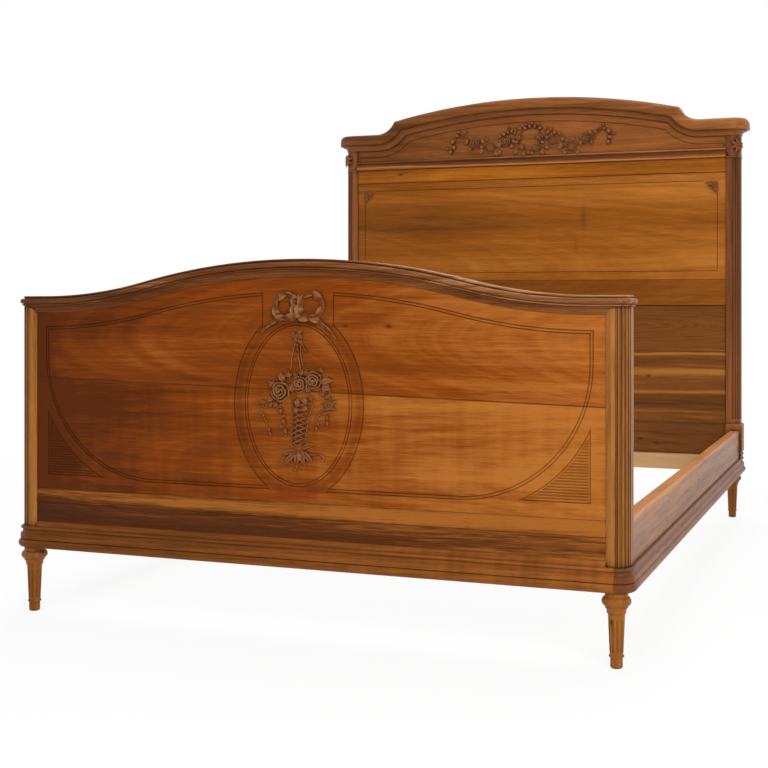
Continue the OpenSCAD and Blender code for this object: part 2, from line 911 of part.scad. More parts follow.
// Plinth moulding on the outer face of a side rail
module side_plinth() {
    run_y(half_w, rail_y0, rail_y1, leg_h)
        plinth_profile(rail_in);
}

module side_plinth_left() {
    color(walnut_dark) at_side(-1, 0) side_plinth();
}

module side_plinth_right() {
    color(walnut_dark) at_side(1, 0) side_plinth();
}

// Places of the ledger screws along the rail
function screw_ys() =
    [for (i = [0:ledger_screws_n - 1])
        let (end = ledger_end + screw_end)
        rail_y0 + end + (rail_y1 - rail_y0 - 2 * end) * i / (ledger_screws_n - 1)];

// Pale ledger that carries the mattress base, right-hand side
module side_ledger() {
    z0 = leg_h + ledger_up;
    difference() {
        translate([rail_inner - ledger_w, rail_y0 + ledger_end, z0])
            cube([ledger_w, rail_y1 - rail_y0 - 2 * ledger_end, ledger_h]);
        for (y = screw_ys())
            translate([rail_inner - ledger_w - over, y, z0 + ledger_h / 2])
                rotate([0, 90, 0]) {
                    cylinder(r = screw_r, h = ledger_w + 2 * over, $fn = 24);
                    cylinder(r = screw_head_r, h = screw_head_h + over, $fn = 24);
                }
    }
}

module side_ledger_left() {
    color(beech) at_side(-1, 0) side_ledger();
}

module side_ledger_right() {
    color(beech) at_side(1, 0) side_ledger();
}

// A slotted wood screw that points along +X from the origin, its head flush there
module wood_screw(len) {
    rotate([0, 90, 0])
        difference() {
            union() {
                cylinder(r = screw_head_r, h = screw_head_h, $fn = 24);
                cylinder(r = screw_r, h = len, $fn = 24);
            }
            translate([-screw_head_r - over, -0.5, -over])
                cube([2 * (screw_head_r + over), 1, 1 + over]);
        }
}

module ledger_screws() {
    color(steel)
        for (s = [-1, 1])
            at_side(s, 0)
                for (y = screw_ys())
                    translate([rail_inner - ledger_w, y, leg_h + ledger_up + ledger_h / 2])
                        wood_screw(ledger_w);
}

// Iron hook plate let into the end of a rail. Its hooks reach past y = 0 towards +Y and turn down.
module hook_plate() {
    z0 = plate_z - plate_h / 2;
    difference() {
        union() {
            translate([plate_x - hook_t / 2, -hook_len, z0])
                cube([hook_t, hook_len, plate_h]);
            for (z = hook_zs) {
                translate([plate_x - hook_t / 2, -over, z - hook_h / 2])
                    cube([hook_t, plate_t + fit_gap + hook_reach + over, hook_h]);
                translate([plate_x - hook_t / 2, plate_t + fit_gap, z - hook_h / 2 - hook_drop])
                    cube([hook_t, hook_reach, hook_drop + over]);
            }
        }
        for (z = hook_zs)
            translate([plate_x - hook_t, -hook_len + hook_pin_in, z])
                rotate([0, 90, 0])
                    cylinder(r = screw_r + fit_gap, h = 2 * hook_t, $fn = 24);
    }
}

module rail_hooks() {
    color(steel)
        for (s = [-1, 1])
            at_side(s, 0) {
                translate([0, rail_y1, 0])
                    hook_plate();
                translate([0, rail_y0, 0])
                    mirror([0, 1, 0])
                        hook_plate();
            }
}

// Pins that hold the hook plates in the rails
module rail_hook_pins() {
    color(steel)
        for (s = [-1, 1])
            at_side(s, 0)
                for (y = pin_ys)
                    for (z = hook_zs)
                        translate([rail_inner, y, z])
                            rotate([0, 90, 0])
                                cylinder(r = screw_r, h = rail_t - blind - fit_gap, $fn = 24);
}

// Iron plate with two slots, let into a post. Its face lies at y = 0 and looks towards +Y.
module slot_plate() {
    difference() {
        translate([plate_x - plate_w / 2, -plate_t, plate_z - plate_h / 2])
            cube([plate_w, plate_t, plate_h]);
        for (z = hook_zs)
            translate([plate_x - hook_t / 2 - fit_gap, -plate_t - over, z - hook_h / 2 - fit_gap])
                cube([hook_t + 2 * fit_gap, plate_t + 2 * over, hook_h + hook_drop + fit_gap]);
        for (z = screw_zs)
            translate([plate_x, -plate_t - over, z])
                rotate([-90, 0, 0]) {
                    cylinder(r = screw_r, h = plate_t + 2 * over, $fn = 24);
                    translate([0, 0, plate_t + over - screw_head_h])
                        cylinder(r = screw_head_r, h = screw_head_h + over, $fn = 24);
                }
    }
}

module post_slot_plates() {
    color(steel)
        for (s = [-1, 1])
            at_side(s, 0) {
                translate([0, rail_y0, 0])
                    slot_plate();
                translate([0, rail_y1, 0])
                    mirror([0, 1, 0])
                        slot_plate();
            }
}

module slot_plate_screws() {
    color(steel)
        for (s = [-1, 1])
            at_side(s, 0)
                for (z = screw_zs) {
                    translate([plate_x, rail_y0, z])
                        rotate(-90)
                            wood_screw(screw_l);
                    translate([plate_x, rail_y1, z])
                        rotate(90)
                            wood_screw(screw_l);
                }
}

// Cross-section of the beaded base and of the necking: a half round in front of a flat
module bead_profile(r, back, h) {
    translate([-back, 0])
        square([back, h]);
    translate([-r * 0.4, h / 2])
        circle(r, $fn = 32);
}

// Head post, right-hand side: beaded base, plain block, fluted shaft and capital block
module head_post() {
    bead_r = 6;
    back = half_w - inner_w;
    difference() {
        union() {
            translate([0, 0, block_low])
                linear_extrude(ear_z - head_cap_h - block_low)
                    post_plan(head_post_d);
            run_y(half_w + block_over / 2, -block_over, head_post_d, plinth_top)
                bead_profile(bead_r, back + block_over / 2, base_bead_h);
            head_block();
            run_x(inner_w, half_w - corner_r, frieze_z - neck_r)
                bead_profile(neck_r, corner_r, 2 * neck_r);
            run_corner(frieze_z - neck_r)
                bead_profile(neck_r, corner_r, 2 * neck_r);
            run_y(half_w, corner_r, head_post_d, frieze_z - neck_r)
                bead_profile(neck_r, corner_r, 2 * neck_r);
        }
        corner_flutes(block_top + flute_stop, frieze_z - neck_r);
        post_groove(head_tongue_y, plinth_top, ear_z - head_cap_h + over);
        translate([0, -block_over, 0])
            mirror([0, 1, 0])
                slot_cavity();
        translate([half_w - corner_r, corner_r, plinth_top - over])
            cylinder(r = dowel_r + fit_gap, h = dowel_in + over + fit_gap);
    }
}

// Plain block that receives the side rail, its upper edges rounded off
module head_block() {
    r = block_over;
    h = block_top - block_low;
    width = half_w + block_over - inner_w;
    depth = head_post_d + block_over;
    intersection() {
        run_y(inner_w, -block_over, head_post_d, block_low) {
            square([width, h - r]);
            square([width - r, h]);
            translate([width - r, h - r])
                circle(r, $fn = 48);
        }
        run_x(inner_w - over, half_w + 2 * block_over, block_low)
            translate([-head_post_d - over, 0]) {
                square([depth + over, h - r]);
                square([depth + over - r, h]);
                translate([depth + over - r, h - r])
                    circle(r, $fn = 48);
            }
    }
}

module head_post_left() {
    color(walnut) at_side(-1, head_y) head_post();
}

module head_post_right() {
    color(walnut) at_side(1, head_y) head_post();
}

// Corner block of the plinth at the head, right-hand side
module head_corner() {
    difference() {
        union() {
            run_y(half_w, -block_over, head_post_d, leg_h)
                keep_forward(-corner_r)
                    plinth_profile(corner_r);
            translate([inner_w, -block_over, leg_h])
                cube([half_w - corner_r - inner_w, head_post_d + block_over, plinth_h]);
        }
        translate([half_w - corner_r, corner_r, leg_h - over])
            cylinder(r = dowel_r + fit_gap, h = plinth_h + 2 * over);
    }
}

module head_plinth_corner_left() {
    color(walnut_dark) at_side(-1, head_y) head_corner();
}

module head_plinth_corner_right() {
    color(walnut_dark) at_side(1, head_y) head_corner();
}

// Cross-section of the cornice: a lip below and one broad rounded front
function cornice_outline() =
    let (lip = 7, o = head_cap_over, top = 6, full = 0.65)
    from_top(concat(
        arc_points([o - lip, lip], lip, -90, 0, 4),
        [for (i = [1:8]) let (a = 90 * i / 8)
            [top + (o - top) * pow(cos(a), full), lip + (head_cap_h - lip) * pow(sin(a), full)]]),
        head_cap_h, 0);

module head_cornice() {
    color(walnut_dark)
        translate([0, head_y, 0])
            loft(wrapped(head_stations(head_cap_h), cornice_outline(), ear_z, head_post_d));
}

// Cross-section of the cove under the cornice
function cove_outline() =
    from_top(concat(
        [[0.5, 0]],
        arc_points([cove_d, 0.5], cove_d - 2, 180, 90, 6),
        [[cove_d, cove_h]]), cove_h, head_cap_h);

module head_cove() {
    outline = cove_outline();
    step = 0.2;
    // Flat facets that just touch the round corner of the post
    inner_r = corner_r / cos(45 / corner_n);
    rings = concat(
        [for (s = head_stations(head_cap_h + cove_h)) front_ring(s, outline, head_board_back)],
        [front_ring(flat_station(inner_w - step, ear_z), outline, head_board_back)],
        [front_ring(flat_station(inner_w, ear_z), outline, 0)],
        [for (i = [0:corner_n])
            let (a = 90 * i / corner_n)
            corner_ring(a, 0, outline, ear_z, half_w - corner_r + inner_r * sin(a),
                corner_r - inner_r * cos(a))],
        [corner_ring(90, head_post_d - corner_r, outline, ear_z, half_w, head_post_d)]);
    color(walnut_dark)
        translate([0, head_y, 0])
            loft(both_sides(rings));
}

// Outline of the line on the frieze, drawn in by some distance
module frieze_line(inset) {
    under_step(frieze_line_drop + inset, inner_w - frieze_line_margin - inset, astragal_top - over);
}

// Board above the fluted posts that carries the garland
module head_frieze() {
    y0 = head_board_back;
    color(walnut_red)
        translate([0, head_y, 0])
            difference() {
                union() {
                    slab(y0, y0 + head_board_t)
                        under_step(head_cap_h + fit_gap, inner_w, frieze_z);
                    slab(head_tongue_y, head_tongue_y + tongue_t)
                        under_step(head_cap_h + fit_gap, inner_w + tongue_l, frieze_z);
                    slab(head_tongue_y, head_tongue_y + tongue_t)
                        translate([-inner_w, frieze_z - tongue_t])
                            square([2 * inner_w, tongue_t + over]);
                }
                slab(y0 - over, y0 + line_d)
                    intersection() {
                        difference() {
                            frieze_line(0);
                            frieze_line(line_w);
                        }
                        translate([-inner_w, astragal_top - over])
                            square([2 * inner_w, head_top_z]);
                    }
            }
}

// Moulding at the foot of the frieze: bead above, hollow, projecting fillet below
module head_frieze_astragal() {
    reach = head_board_back + 4;
    bead_r = 4;
    color(walnut_dark)
        translate([0, head_y + head_board_back, 0])
            run_x(-inner_w, inner_w, frieze_z) {
                difference() {
                    square([reach, astragal_h - 2 * bead_r]);
                    translate([reach + 6, astragal_h - 2 * bead_r + 1])
                        circle(16, $fn = 64);
                }
                square([bead_r, astragal_h]);
                translate([bead_r, astragal_h - bead_r])
                    circle(bead_r, $fn = 32);
            }
}

// A board of the headboard from z0 to z1, tongued into the posts, with a tongue on its upper edge
// and a groove in its lower one
module head_board(y0, t, z0, z1, tongue_up, groove_low) {
    translate([0, head_y, 0])
        difference() {
            union() {
                slab(y0, y0 + t)
                    translate([-inner_w, z0])
                        square([2 * inner_w, z1 - z0]);
                slab(head_tongue_y, head_tongue_y + tongue_t)
                    translate([-inner_w - tongue_l, z0])
                        square([2 * (inner_w + tongue_l), z1 - z0]);
                if (tongue_up)
                    slab(head_tongue_y, head_tongue_y + tongue_t)
                        translate([-inner_w, z1 - over])
                            square([2 * inner_w, tongue_t + over]);
            }
            if (groove_low)
                slab(head_tongue_y - fit_gap, head_tongue_y + tongue_t + fit_gap)
                    translate([-inner_w - tongue_l - over, z0 - over])
                        square([2 * (inner_w + tongue_l + over), tongue_t + fit_gap + over]);
        }
}

module head_top_rail() {
    color(walnut)
        difference() {
            head_board(head_board_back - 2, head_board_t + 4, head_panel_top, frieze_z, false, true);
            translate([0, head_y, 0])
                slab(head_tongue_y - fit_gap, head_tongue_y + tongue_t + fit_gap)
                    translate([-inner_w - tongue_l - over, frieze_z - tongue_t - fit_gap])
                        square([2 * (inner_w + tongue_l + over), tongue_t + fit_gap + over]);
        }
}

// Line round the upper panel, broken at the top corners where the carvings are
module panel_line() {
    half = inner_w - panel_line_margin;
    low = head_panel_low + panel_line_up;
    high = head_panel_top - corner_drop;
    difference() {
        translate([-half, low])
            square([2 * half, high - low]);
        translate([-half + line_w, low + line_w])
            square([2 * (half - line_w), high - low - 2 * line_w]);
        for (s = [-1, 1])
            translate([s * half - corner_carving, high - corner_carving])
                square([2 * corner_carving, 2 * corner_carving]);
    }
}

module head_panel_upper() {
    color(walnut_red)
        difference() {
            head_board(head_board_back, head_board_t, head_panel_low, head_panel_top, true, true);
            translate([0, head_y, 0])
                slab(head_board_back - over, head_board_back + line_d)
                    panel_line();
        }
}

module head_plank_upper() {
    color(walnut)
        head_board(head_board_back + plank_back, head_board_t, plank_1_low, head_panel_low, true, true);
}

module head_plank_middle() {
    color(walnut)
        head_board(head_board_back + plank_back, head_board_t, plank_2_low, plank_1_low, true, true);
}

module head_plank_lower() {
    color(walnut)
        head_board(head_board_back + plank_back, head_board_t, plinth_top, plank_2_low, true, false);
}

// Pale batten across the inner face of the headboard, at the height of the side ledgers
module head_cross_rail() {
    y = head_y + head_board_back + plank_back;
    color(beech)
        translate([-inner_w + fit_gap, y - head_ledger_d, leg_h + ledger_up])
            cube([2 * (inner_w - fit_gap), head_ledger_d, ledger_h]);
}

// Pointed leaf from p along the angle a
module leaf(p, a, l, w) {
    translate(p)
        rotate(a)
            polygon([[0, 0], [l * 0.25, w * 0.42], [l * 0.55, w * 0.46], [l, 0],
                [l * 0.55, -w * 0.46], [l * 0.25, -w * 0.42]]);
}

// Open rose of radius r: level 0 is its widest ring of petals, level 2 its heart
module rose(p, r, level) {
    translate(p) {
        for (i = [0:4])
            rotate(72 * i + 31 * level + 5)
                translate([r * (0.58 - 0.2 * level), 0])
                    rotate(13)
                        circle(r * (0.5 - 0.12 * level), $fn = 9);
        rotate(23)
            circle(r * (0.47 - 0.15 * level), $fn = 11);
    }
}

// Ribbon of even width along points
module ribbon(points, w) {
    for (i = [0:len(points) - 2])
        let (a = points[i], b = points[i + 1], v = b - a)
        translate(a)
            rotate(atan2(v[1], v[0])) {
                translate([0, -w / 2])
                    square([norm(v), w]);
                translate([norm(v), 0])
                    circle(w / 2, $fn = 8);
            }
}

// Relief in three levels of one third of its height each, on the ground y = 0
module relief_levels(h) {
    for (level = [0:2]) {
        $level = level;
        slab(-h * (level + 1) / 3, -h * level / 3)
            children();
    }
}

// Loop of a bow: an open ring of ribbon about p
module bow_loop(p, a, l, w) {
    translate(p)
        rotate(a)
            difference() {
                scale([l / w, 1])
                    circle(w / 2, $fn = 12);
                scale([l / w, 1])
                    circle(w * 0.26, $fn = 12);
            }
}

// Places of the carvings, which follow the oval, and the frieze with its capital blocks
function at_oval(p) = [p[0] * oval_a / 168, p[1] * oval_b / 222];
function at_frieze(p) = [p[0] * inner_w / 730, p[1] * capital_h / 98];

// Bow of ribbon over the medallion, with two tails that follow the oval
module foot_ribbon_carving() {
    a = oval_a - oval_band / 2;
    b = oval_b - oval_band / 2;
    w = rose_r;
    color(walnut_dark)
        translate([0, foot_y + panel_back, foot_rail_top + oval_up])
            relief_levels(relief * 0.6) {
                if ($level == 0)
                    for (s = [-1, 1]) {
                        bow_loop([0.5 * w + s * 2.5 * w, b + 1.4 * w], s * 8, 3 * w, 3.4 * w);
                        ribbon([for (t = [90:-6:48])
                            [s * a * cos(t), b * sin(t) + w * sin(t * 15) / 4]], 0.75 * w);
                    }
                if ($level == 1)
                    for (s = [-1, 1]) {
                        leaf([0.3 * w + s * w, b + 2 * w], s > 0 ? 50 : 130, 2.1 * w, 0.75 * w);
                        leaf([0.3 * w + s * 2.1 * w, b], s > 0 ? -20 : 200, 1.9 * w, 0.75 * w);
                    }
                if ($level < 2)
                    rose([0.2 * w, b], 0.9 * w, $level);
                if ($level == 2)
                    rose([0.2 * w, b], 0.7 * w, 2);
            }
}

// Bouquet of roses in a latticed basket, hung from a ribbon knot
module foot_bouquet_carving() {
    w = rose_r;
    flowers = [[-41, 29, 1.25], [8, 47, 1.05], [44, 58, 1.1]];
    buds = [[83, 14, 0.55], [89, -9, 0.5], [75, -33, 0.5], [-42, -15, 0.5], [-35, -40, 0.45], [-31, -62, 0.4],
        [-71, -68, 0.4]];
    leaves = [[-38, 46, 120], [-56, 38, 160], [-58, 12, 190], [-52, -2, 215], [22, 62, 75], [-14, 58, 105],
        [56, 72, 35], [62, 52, 0], [58, 32, -35], [10, 22, -60], [-20, 8, -100]];
    stems = [[[60, 44], [84, 14], [88, -10], [74, -36]], [[44, 40], [52, -30], [48, -58]],
        [[-44, 20], [-42, -16], [-31, -62]], [[-34, -40], [-60, -52], [-72, -70]],
        [[0, 166], [-10, 125], [-17, 83], [-12, 40]], [[2, 134], [10, 76], [8, 40]]];
    color(walnut_dark)
        translate([0, foot_y + panel_back, foot_rail_top + oval_up])
            relief_levels(relief) {
                for (f = flowers)
                    rose(at_oval(f), w * f[2], $level);
                if ($level < 2)
                    for (f = buds)
                        rose(at_oval(f), w * f[2], $level);
                if ($level == 0) {
                    rose(at_oval([0, 166]), 0.75 * w, 0);
                    ribbon([for (q = [[0, 166], [2, 134], [25, 121]]) at_oval(q)], 0.4 * w);
                    for (q = stems)
                        ribbon([for (p = q) at_oval(p)], 0.25 * w);
                    for (f = leaves)
                        leaf(at_oval(f), f[2], 2.6 * w, 0.95 * w);
                    for (t = [-165:30:-15])
                        leaf(at_oval([5, -106]), t, (3.3 - 1.1 * abs(sin(t))) * w, 0.8 * w);
                    polygon([for (p = basket_outline) at_oval(p)]);
                }
                if ($level == 1) {
                    basket_strands();
                    rose(at_oval([5, -112]), 0.6 * w, 1);
                }
            }
}

// Basket below the roses, wide above and narrow below, and the crossed strands on it
basket_outline = [[-17, -102], [22, -102], [25, -50], [39, 20], [-10, 20], [-15, -50]];
module basket_strands() {
    w = rose_r;
    middle = at_oval([5, -45]);
    intersection() {
        polygon([for (p = basket_outline) at_oval(p)]);
        for (s = [-1, 1], i = [-6:6])
            translate(middle + [0, i * w])
                rotate(40 * s)
                    translate([-3 * w, -w / 9])
                        square([6 * w, w / 4.5]);
    }
}

// Garland along the frieze: a wreath in the middle, two swags of roses, buds that drop at their ends
module head_garland_carving() {
    w = rose_r;
    middle = at_frieze([0, 62]);
    wreath = [for (t = [0:45:315]) at_frieze([30 * cos(t) - 6, 38 * sin(t) + 11])];
    flowers = [[-287, 22, 0.75], [-233, -7, 0.95], [-170, -24, 1.3], [-107, -4, 0.85],
        [78, -8, 1.15], [153, -33, 1.25], [207, -6, 0.95], [250, 14, 0.8]];
    buds = [[-324, 2], [-317, -18], [-330, -34], [-113, 24], [-82, 34], [61, 28], [90, 20],
        [292, 20], [300, -4], [295, -22]];
    stems = [[for (i = [0:3]) flowers[i]], [for (i = [4:7]) flowers[i]], [[-287, 22], [-320, 4], [-330, -36]],
        [[250, 14], [292, 20], [296, -24]], [[-107, -4], [-40, 20]], [[78, -8], [30, 18]]];
    color(walnut_dark)
        translate([0, head_y + head_board_back, astragal_top + middle[1]])
            relief_levels(relief * 0.8) {
                for (p = wreath)
                    rose(p, 0.6 * w, $level);
                for (f = flowers)
                    rose(at_frieze(f), w * f[2], $level);
                if ($level < 2)
                    for (p = buds)
                        rose(at_frieze(p), 0.47 * w, $level);
                if ($level == 0) {
                    ribbon(concat(wreath, [wreath[0]]), 0.35 * w);
                    for (q = stems)
                        ribbon([for (p = q) at_frieze(p)], 0.33 * w);
                    for (f = flowers, t = [35:110:255])
                        leaf(at_frieze(f), t + 2 * f[0], 2 * w, 0.7 * w);
                }
            }
}

// Small carved spray in a top corner of the upper panel, right-hand side
module corner_spray() {
    size = corner_carving;
    x = inner_w - panel_line_margin;
    z = head_panel_top - corner_drop;
    middle = [x - size * 0.24, z - size * 0.24];
    translate([0, head_y + head_board_back, 0])
        relief_levels(relief * 0.5) {
            rose(middle, size * 0.24, $level);
            if ($level == 0)
                for (t = [180:22.5:270])
                    leaf(middle, t, size * 0.74, size * 0.22);
            if ($level == 0)
                polygon([[x, z], [x, z - size], [x - size * 0.3, z - size * 0.45], [x - size, z]]);
        }
}

module head_corner_carving_left() {
    color(walnut_dark) at_side(-1, 0) corner_spray();
}

module head_corner_carving_right() {
    color(walnut_dark) at_side(1, 0) corner_spray();
}

// Acanthus leaf that bulges from the rounded corner of the capital block, right-hand side.
// Its lobes are parted by upright hollows.
module capital_carving() {
    low = frieze_z + 12;
    high = ear_z - head_cap_h - cove_h - 6;
    half_h = (high - low) / 2;
    bulge_r = (half_h * half_h + capital_leaf * capital_leaf) / (2 * capital_leaf);
    spread = 66;
    translate([half_w - corner_r, head_y + corner_r, (low + high) / 2])
        difference() {
            rotate([0, 0, -45 - spread / 2])
                rotate_extrude(angle = spread)
                    difference() {
                        translate([corner_r + capital_leaf - bulge_r, 0])
                            circle(bulge_r, $fn = 128);
                        translate([-2 * bulge_r, -bulge_r])
                            square([2 * bulge_r + corner_r, 2 * bulge_r]);
                    }
            for (a = [-45 - spread / 6, -45 + spread / 6])
                rotate([0, 0, a])
                    translate([corner_r + capital_leaf, 0, -half_h])
                        cylinder(r = 4, h = 2 * half_h, $fn = 32);
        }
}

module head_capital_carving_left() {
    color(walnut) at_side(-1, 0) capital_carving();
}

module head_capital_carving_right() {
    color(walnut) at_side(1, 0) capital_carving();
}

foot_post_left();
foot_post_right();
foot_cap();
foot_cap_ogee();
foot_panel_upper();
foot_panel_lower();
foot_bottom_rail();
foot_ribbon_carving();
foot_bouquet_carving();
foot_plinth_front();
foot_plinth_corner_left();
foot_plinth_corner_right();
front_foot_left();
front_foot_right();
rear_foot_left();
rear_foot_right();
side_rail_left();
side_rail_right();
side_plinth_left();
side_plinth_right();
side_ledger_left();
side_ledger_right();
ledger_screws();
rail_hooks();
rail_hook_pins();
post_slot_plates();
slot_plate_screws();
head_post_left();
head_post_right();
head_capital_carving_left();
head_capital_carving_right();
head_cornice();
head_cove();
head_frieze();
head_frieze_astragal();
head_garland_carving();
head_top_rail();
head_panel_upper();
head_corner_carving_left();
head_corner_carving_right();
head_plank_upper();
head_plank_middle();
head_plank_lower();
head_cross_rail();
head_plinth_corner_left();
head_plinth_corner_right();
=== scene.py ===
"""Carved walnut bedstead: carvings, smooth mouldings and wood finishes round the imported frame."""
import json
import math

import bpy
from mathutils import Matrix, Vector

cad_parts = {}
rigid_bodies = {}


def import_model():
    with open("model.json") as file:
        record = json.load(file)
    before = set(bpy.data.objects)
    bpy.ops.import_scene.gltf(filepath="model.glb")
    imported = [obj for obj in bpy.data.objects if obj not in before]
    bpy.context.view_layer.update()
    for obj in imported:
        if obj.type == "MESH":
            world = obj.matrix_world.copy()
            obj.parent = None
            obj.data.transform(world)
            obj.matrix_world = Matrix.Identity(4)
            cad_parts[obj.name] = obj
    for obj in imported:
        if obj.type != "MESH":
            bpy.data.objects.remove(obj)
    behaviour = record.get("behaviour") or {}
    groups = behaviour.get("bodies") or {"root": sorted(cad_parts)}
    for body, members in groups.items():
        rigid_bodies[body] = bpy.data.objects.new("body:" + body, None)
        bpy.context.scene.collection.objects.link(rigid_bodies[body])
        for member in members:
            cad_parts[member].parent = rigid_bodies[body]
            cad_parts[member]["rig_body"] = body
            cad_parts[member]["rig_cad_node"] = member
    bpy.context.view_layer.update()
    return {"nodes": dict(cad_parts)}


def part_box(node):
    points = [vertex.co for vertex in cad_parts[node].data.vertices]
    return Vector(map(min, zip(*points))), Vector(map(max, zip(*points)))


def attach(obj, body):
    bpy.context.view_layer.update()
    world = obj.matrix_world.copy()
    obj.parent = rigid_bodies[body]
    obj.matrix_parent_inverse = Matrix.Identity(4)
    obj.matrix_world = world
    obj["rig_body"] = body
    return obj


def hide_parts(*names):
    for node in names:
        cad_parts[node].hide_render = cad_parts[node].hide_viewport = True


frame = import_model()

bl_info = {
    "name": "Carved bedstead",
    "version": (1, 0, 0),
    "blender": (4, 5, 0),
    "location": "3D View > Sidebar > Bedstead",
    "description": "Dresses the frame of a walnut bedstead with carvings, mouldings and wood finishes",
    "category": "Object",
}

NODES = frame["nodes"]
MM = 0.001

# Planes that the carvings and the camera stand on, taken from the frame
FOOT_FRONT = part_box("foot_post_left")[0][1]
FOOT_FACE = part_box("foot_panel_upper")[0][1]
HEAD_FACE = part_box("head_panel_upper")[0][1]
CAPITAL_LOW, CAPITAL_HIGH = (corner[2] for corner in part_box("head_capital_carving_right"))
# Middle heights of the footboard's oval and of the garland
OVAL_MIDDLE = 0.545
GARLAND_MIDDLE = 1.409
# Half the width and half the height of the oval's outer line, and the place and the width of the
# band inside it that is painted darker, as shade for its hollow moulding, as parts of the oval
OVAL_REACH = (0.168, 0.222)
OVAL_SHADE_BAND = (0.925, 0.07)
# The slanting joint of the footboard: its height at the middle, and its rise with x
FOOT_JOINT = (0.577, -0.0254)
# The tongue at the top of a board, which its neighbour hides
TONGUE = 0.008
# Axis of the rounded corner of a head post, on the right-hand side
CORNER_AXIS = (0.750, 1.016)
# How far a carving goes on behind the face of its board
SUNK = 0.0008
# How far the corner sprays sit below the top of their node
SPRAY_DROP = 0.005
# Angles between faces from which an edge stays sharp, on carvings and on mouldings
CARVING_CREASE = math.radians(60)
MOULDING_CREASE = math.radians(28)
# How much blue the darkest tones of wood lose, and the colour of the painted highlight on the highest
# carving
WARM = 0.3
CARVING_HIGHLIGHT = (192, 130, 82)


def srgb(r, g, b):
    """A colour given in screen levels from 0 to 255, as the linear values that a shader takes."""
    return tuple((c / 255 / 12.92) if c <= 10 else ((c / 255 + 0.055) / 1.055) ** 2.4 for c in (r, g, b))


def colour_property(name, description, levels):
    return bpy.props.FloatVectorProperty(
        name=name, description=description, subtype="COLOR", size=3, min=0, max=1, default=srgb(*levels))


def length_property(name, description, default):
    return bpy.props.FloatProperty(
        name=name, description=description, default=default, unit="LENGTH", min=0)


class BedsteadColours(bpy.types.PropertyGroup):
    """Middle tones of the finishes."""
    golden: colour_property("Golden walnut", "Foot posts", (146, 92, 38))
    foot: colour_property("Foot walnut", "Turned feet", (138, 82, 28))
    shadow: colour_property("Shadowed walnut", "Head posts", (118, 68, 32))
    plinth: colour_property("Plinth walnut", "Plinth mouldings", (124, 70, 24))
    cap: colour_property("Moulding walnut", "Cap of the footboard", (112, 62, 24))
    cornice: colour_property("Cornice walnut", "Cornice of the headboard", (132, 78, 36))
    panel: colour_property("Panel walnut", "Figured boards of the footboard", (130, 62, 6))
    head_panel: colour_property("Headboard walnut", "Upper boards of the headboard", (147, 83, 12))
    frieze: colour_property("Frieze walnut", "Frieze of the headboard", (136, 80, 34))
    dark: colour_property("Dark walnut", "Bottom rail of the footboard", (90, 46, 12))
    red: colour_property("Red walnut", "Plinth corners", (112, 62, 28))
    rail: colour_property("Rail walnut", "Side rails", (150, 100, 60))
    plank: colour_property("Plank walnut", "Plain planks of the headboard", (116, 68, 22))
    carving: colour_property("Carved walnut", "Flowers, ribbons and leaves", (122, 64, 18))
    beech: colour_property("Beech", "Ledgers and cross rail", (190, 150, 104))
    iron: colour_property("Iron", "Bed fittings", (54, 50, 47))
    steel: colour_property("Steel", "Screws and pins", (122, 118, 112))


class BedsteadSizes(bpy.types.PropertyGroup):
    """Sizes of what the scene adds to the frame."""
    edge_round: length_property("Edge rounding", "Radius of the worn edges of boards", 0.0012)
    # Reach of the painted shade that darkens corners and grooves
    shade_reach: length_property("Hollow reach", "How far the painted shade reaches out from a corner", 0.006)
    carving_grain: length_property("Carving grain", "Smallest detail that the carvings keep", 0.0011)


class Value:
    """A number on a surface, as a shader socket that takes Python's arithmetic."""

    def __init__(self, nodes, socket):
        self.nodes, self.socket = nodes, socket

    def math(self, operation, *others, clamp=False):
        inputs = dict(enumerate((self,) + others))
        return self.nodes.node("Math", {"operation": operation, "use_clamp": clamp}, inputs)

    def __add__(self, other):
        return self.math("ADD", other)

    __radd__ = __add__

    def __sub__(self, other):
        return self.math("SUBTRACT", other)

    def __rsub__(self, other):
        return self.nodes.node("Math", {"operation": "SUBTRACT"}, {0: other, 1: self})

    def __mul__(self, other):
        return self.math("MULTIPLY", other)

    __rmul__ = __mul__

    def __truediv__(self, other):
        return self.math("DIVIDE", other)

    def __pow__(self, other):
        return self.math("POWER", other)

    def __rpow__(self, other):
        return self.nodes.node("Math", {"operation": "POWER"}, {0: other, 1: self})

    def clamped(self):
        """The value kept between 0 and 1."""
        return self.math("ADD", 0.0, clamp=True)

    def most(self, other):
        """The larger of two values."""
        return self.math("MAXIMUM", other)

    def step(self, low, high):
        """0 below low, 1 above high, smooth between them."""
        return self.nodes.node("MapRange", {"interpolation_type": "SMOOTHSTEP"},
                               {"Value": self, "From Min": low, "From Max": high})

    def hump(self, middle, width):
        """1 where the value is at the middle, falling off smoothly over the width."""
        return 0.35 ** (((self - middle) / width) ** 2.0)


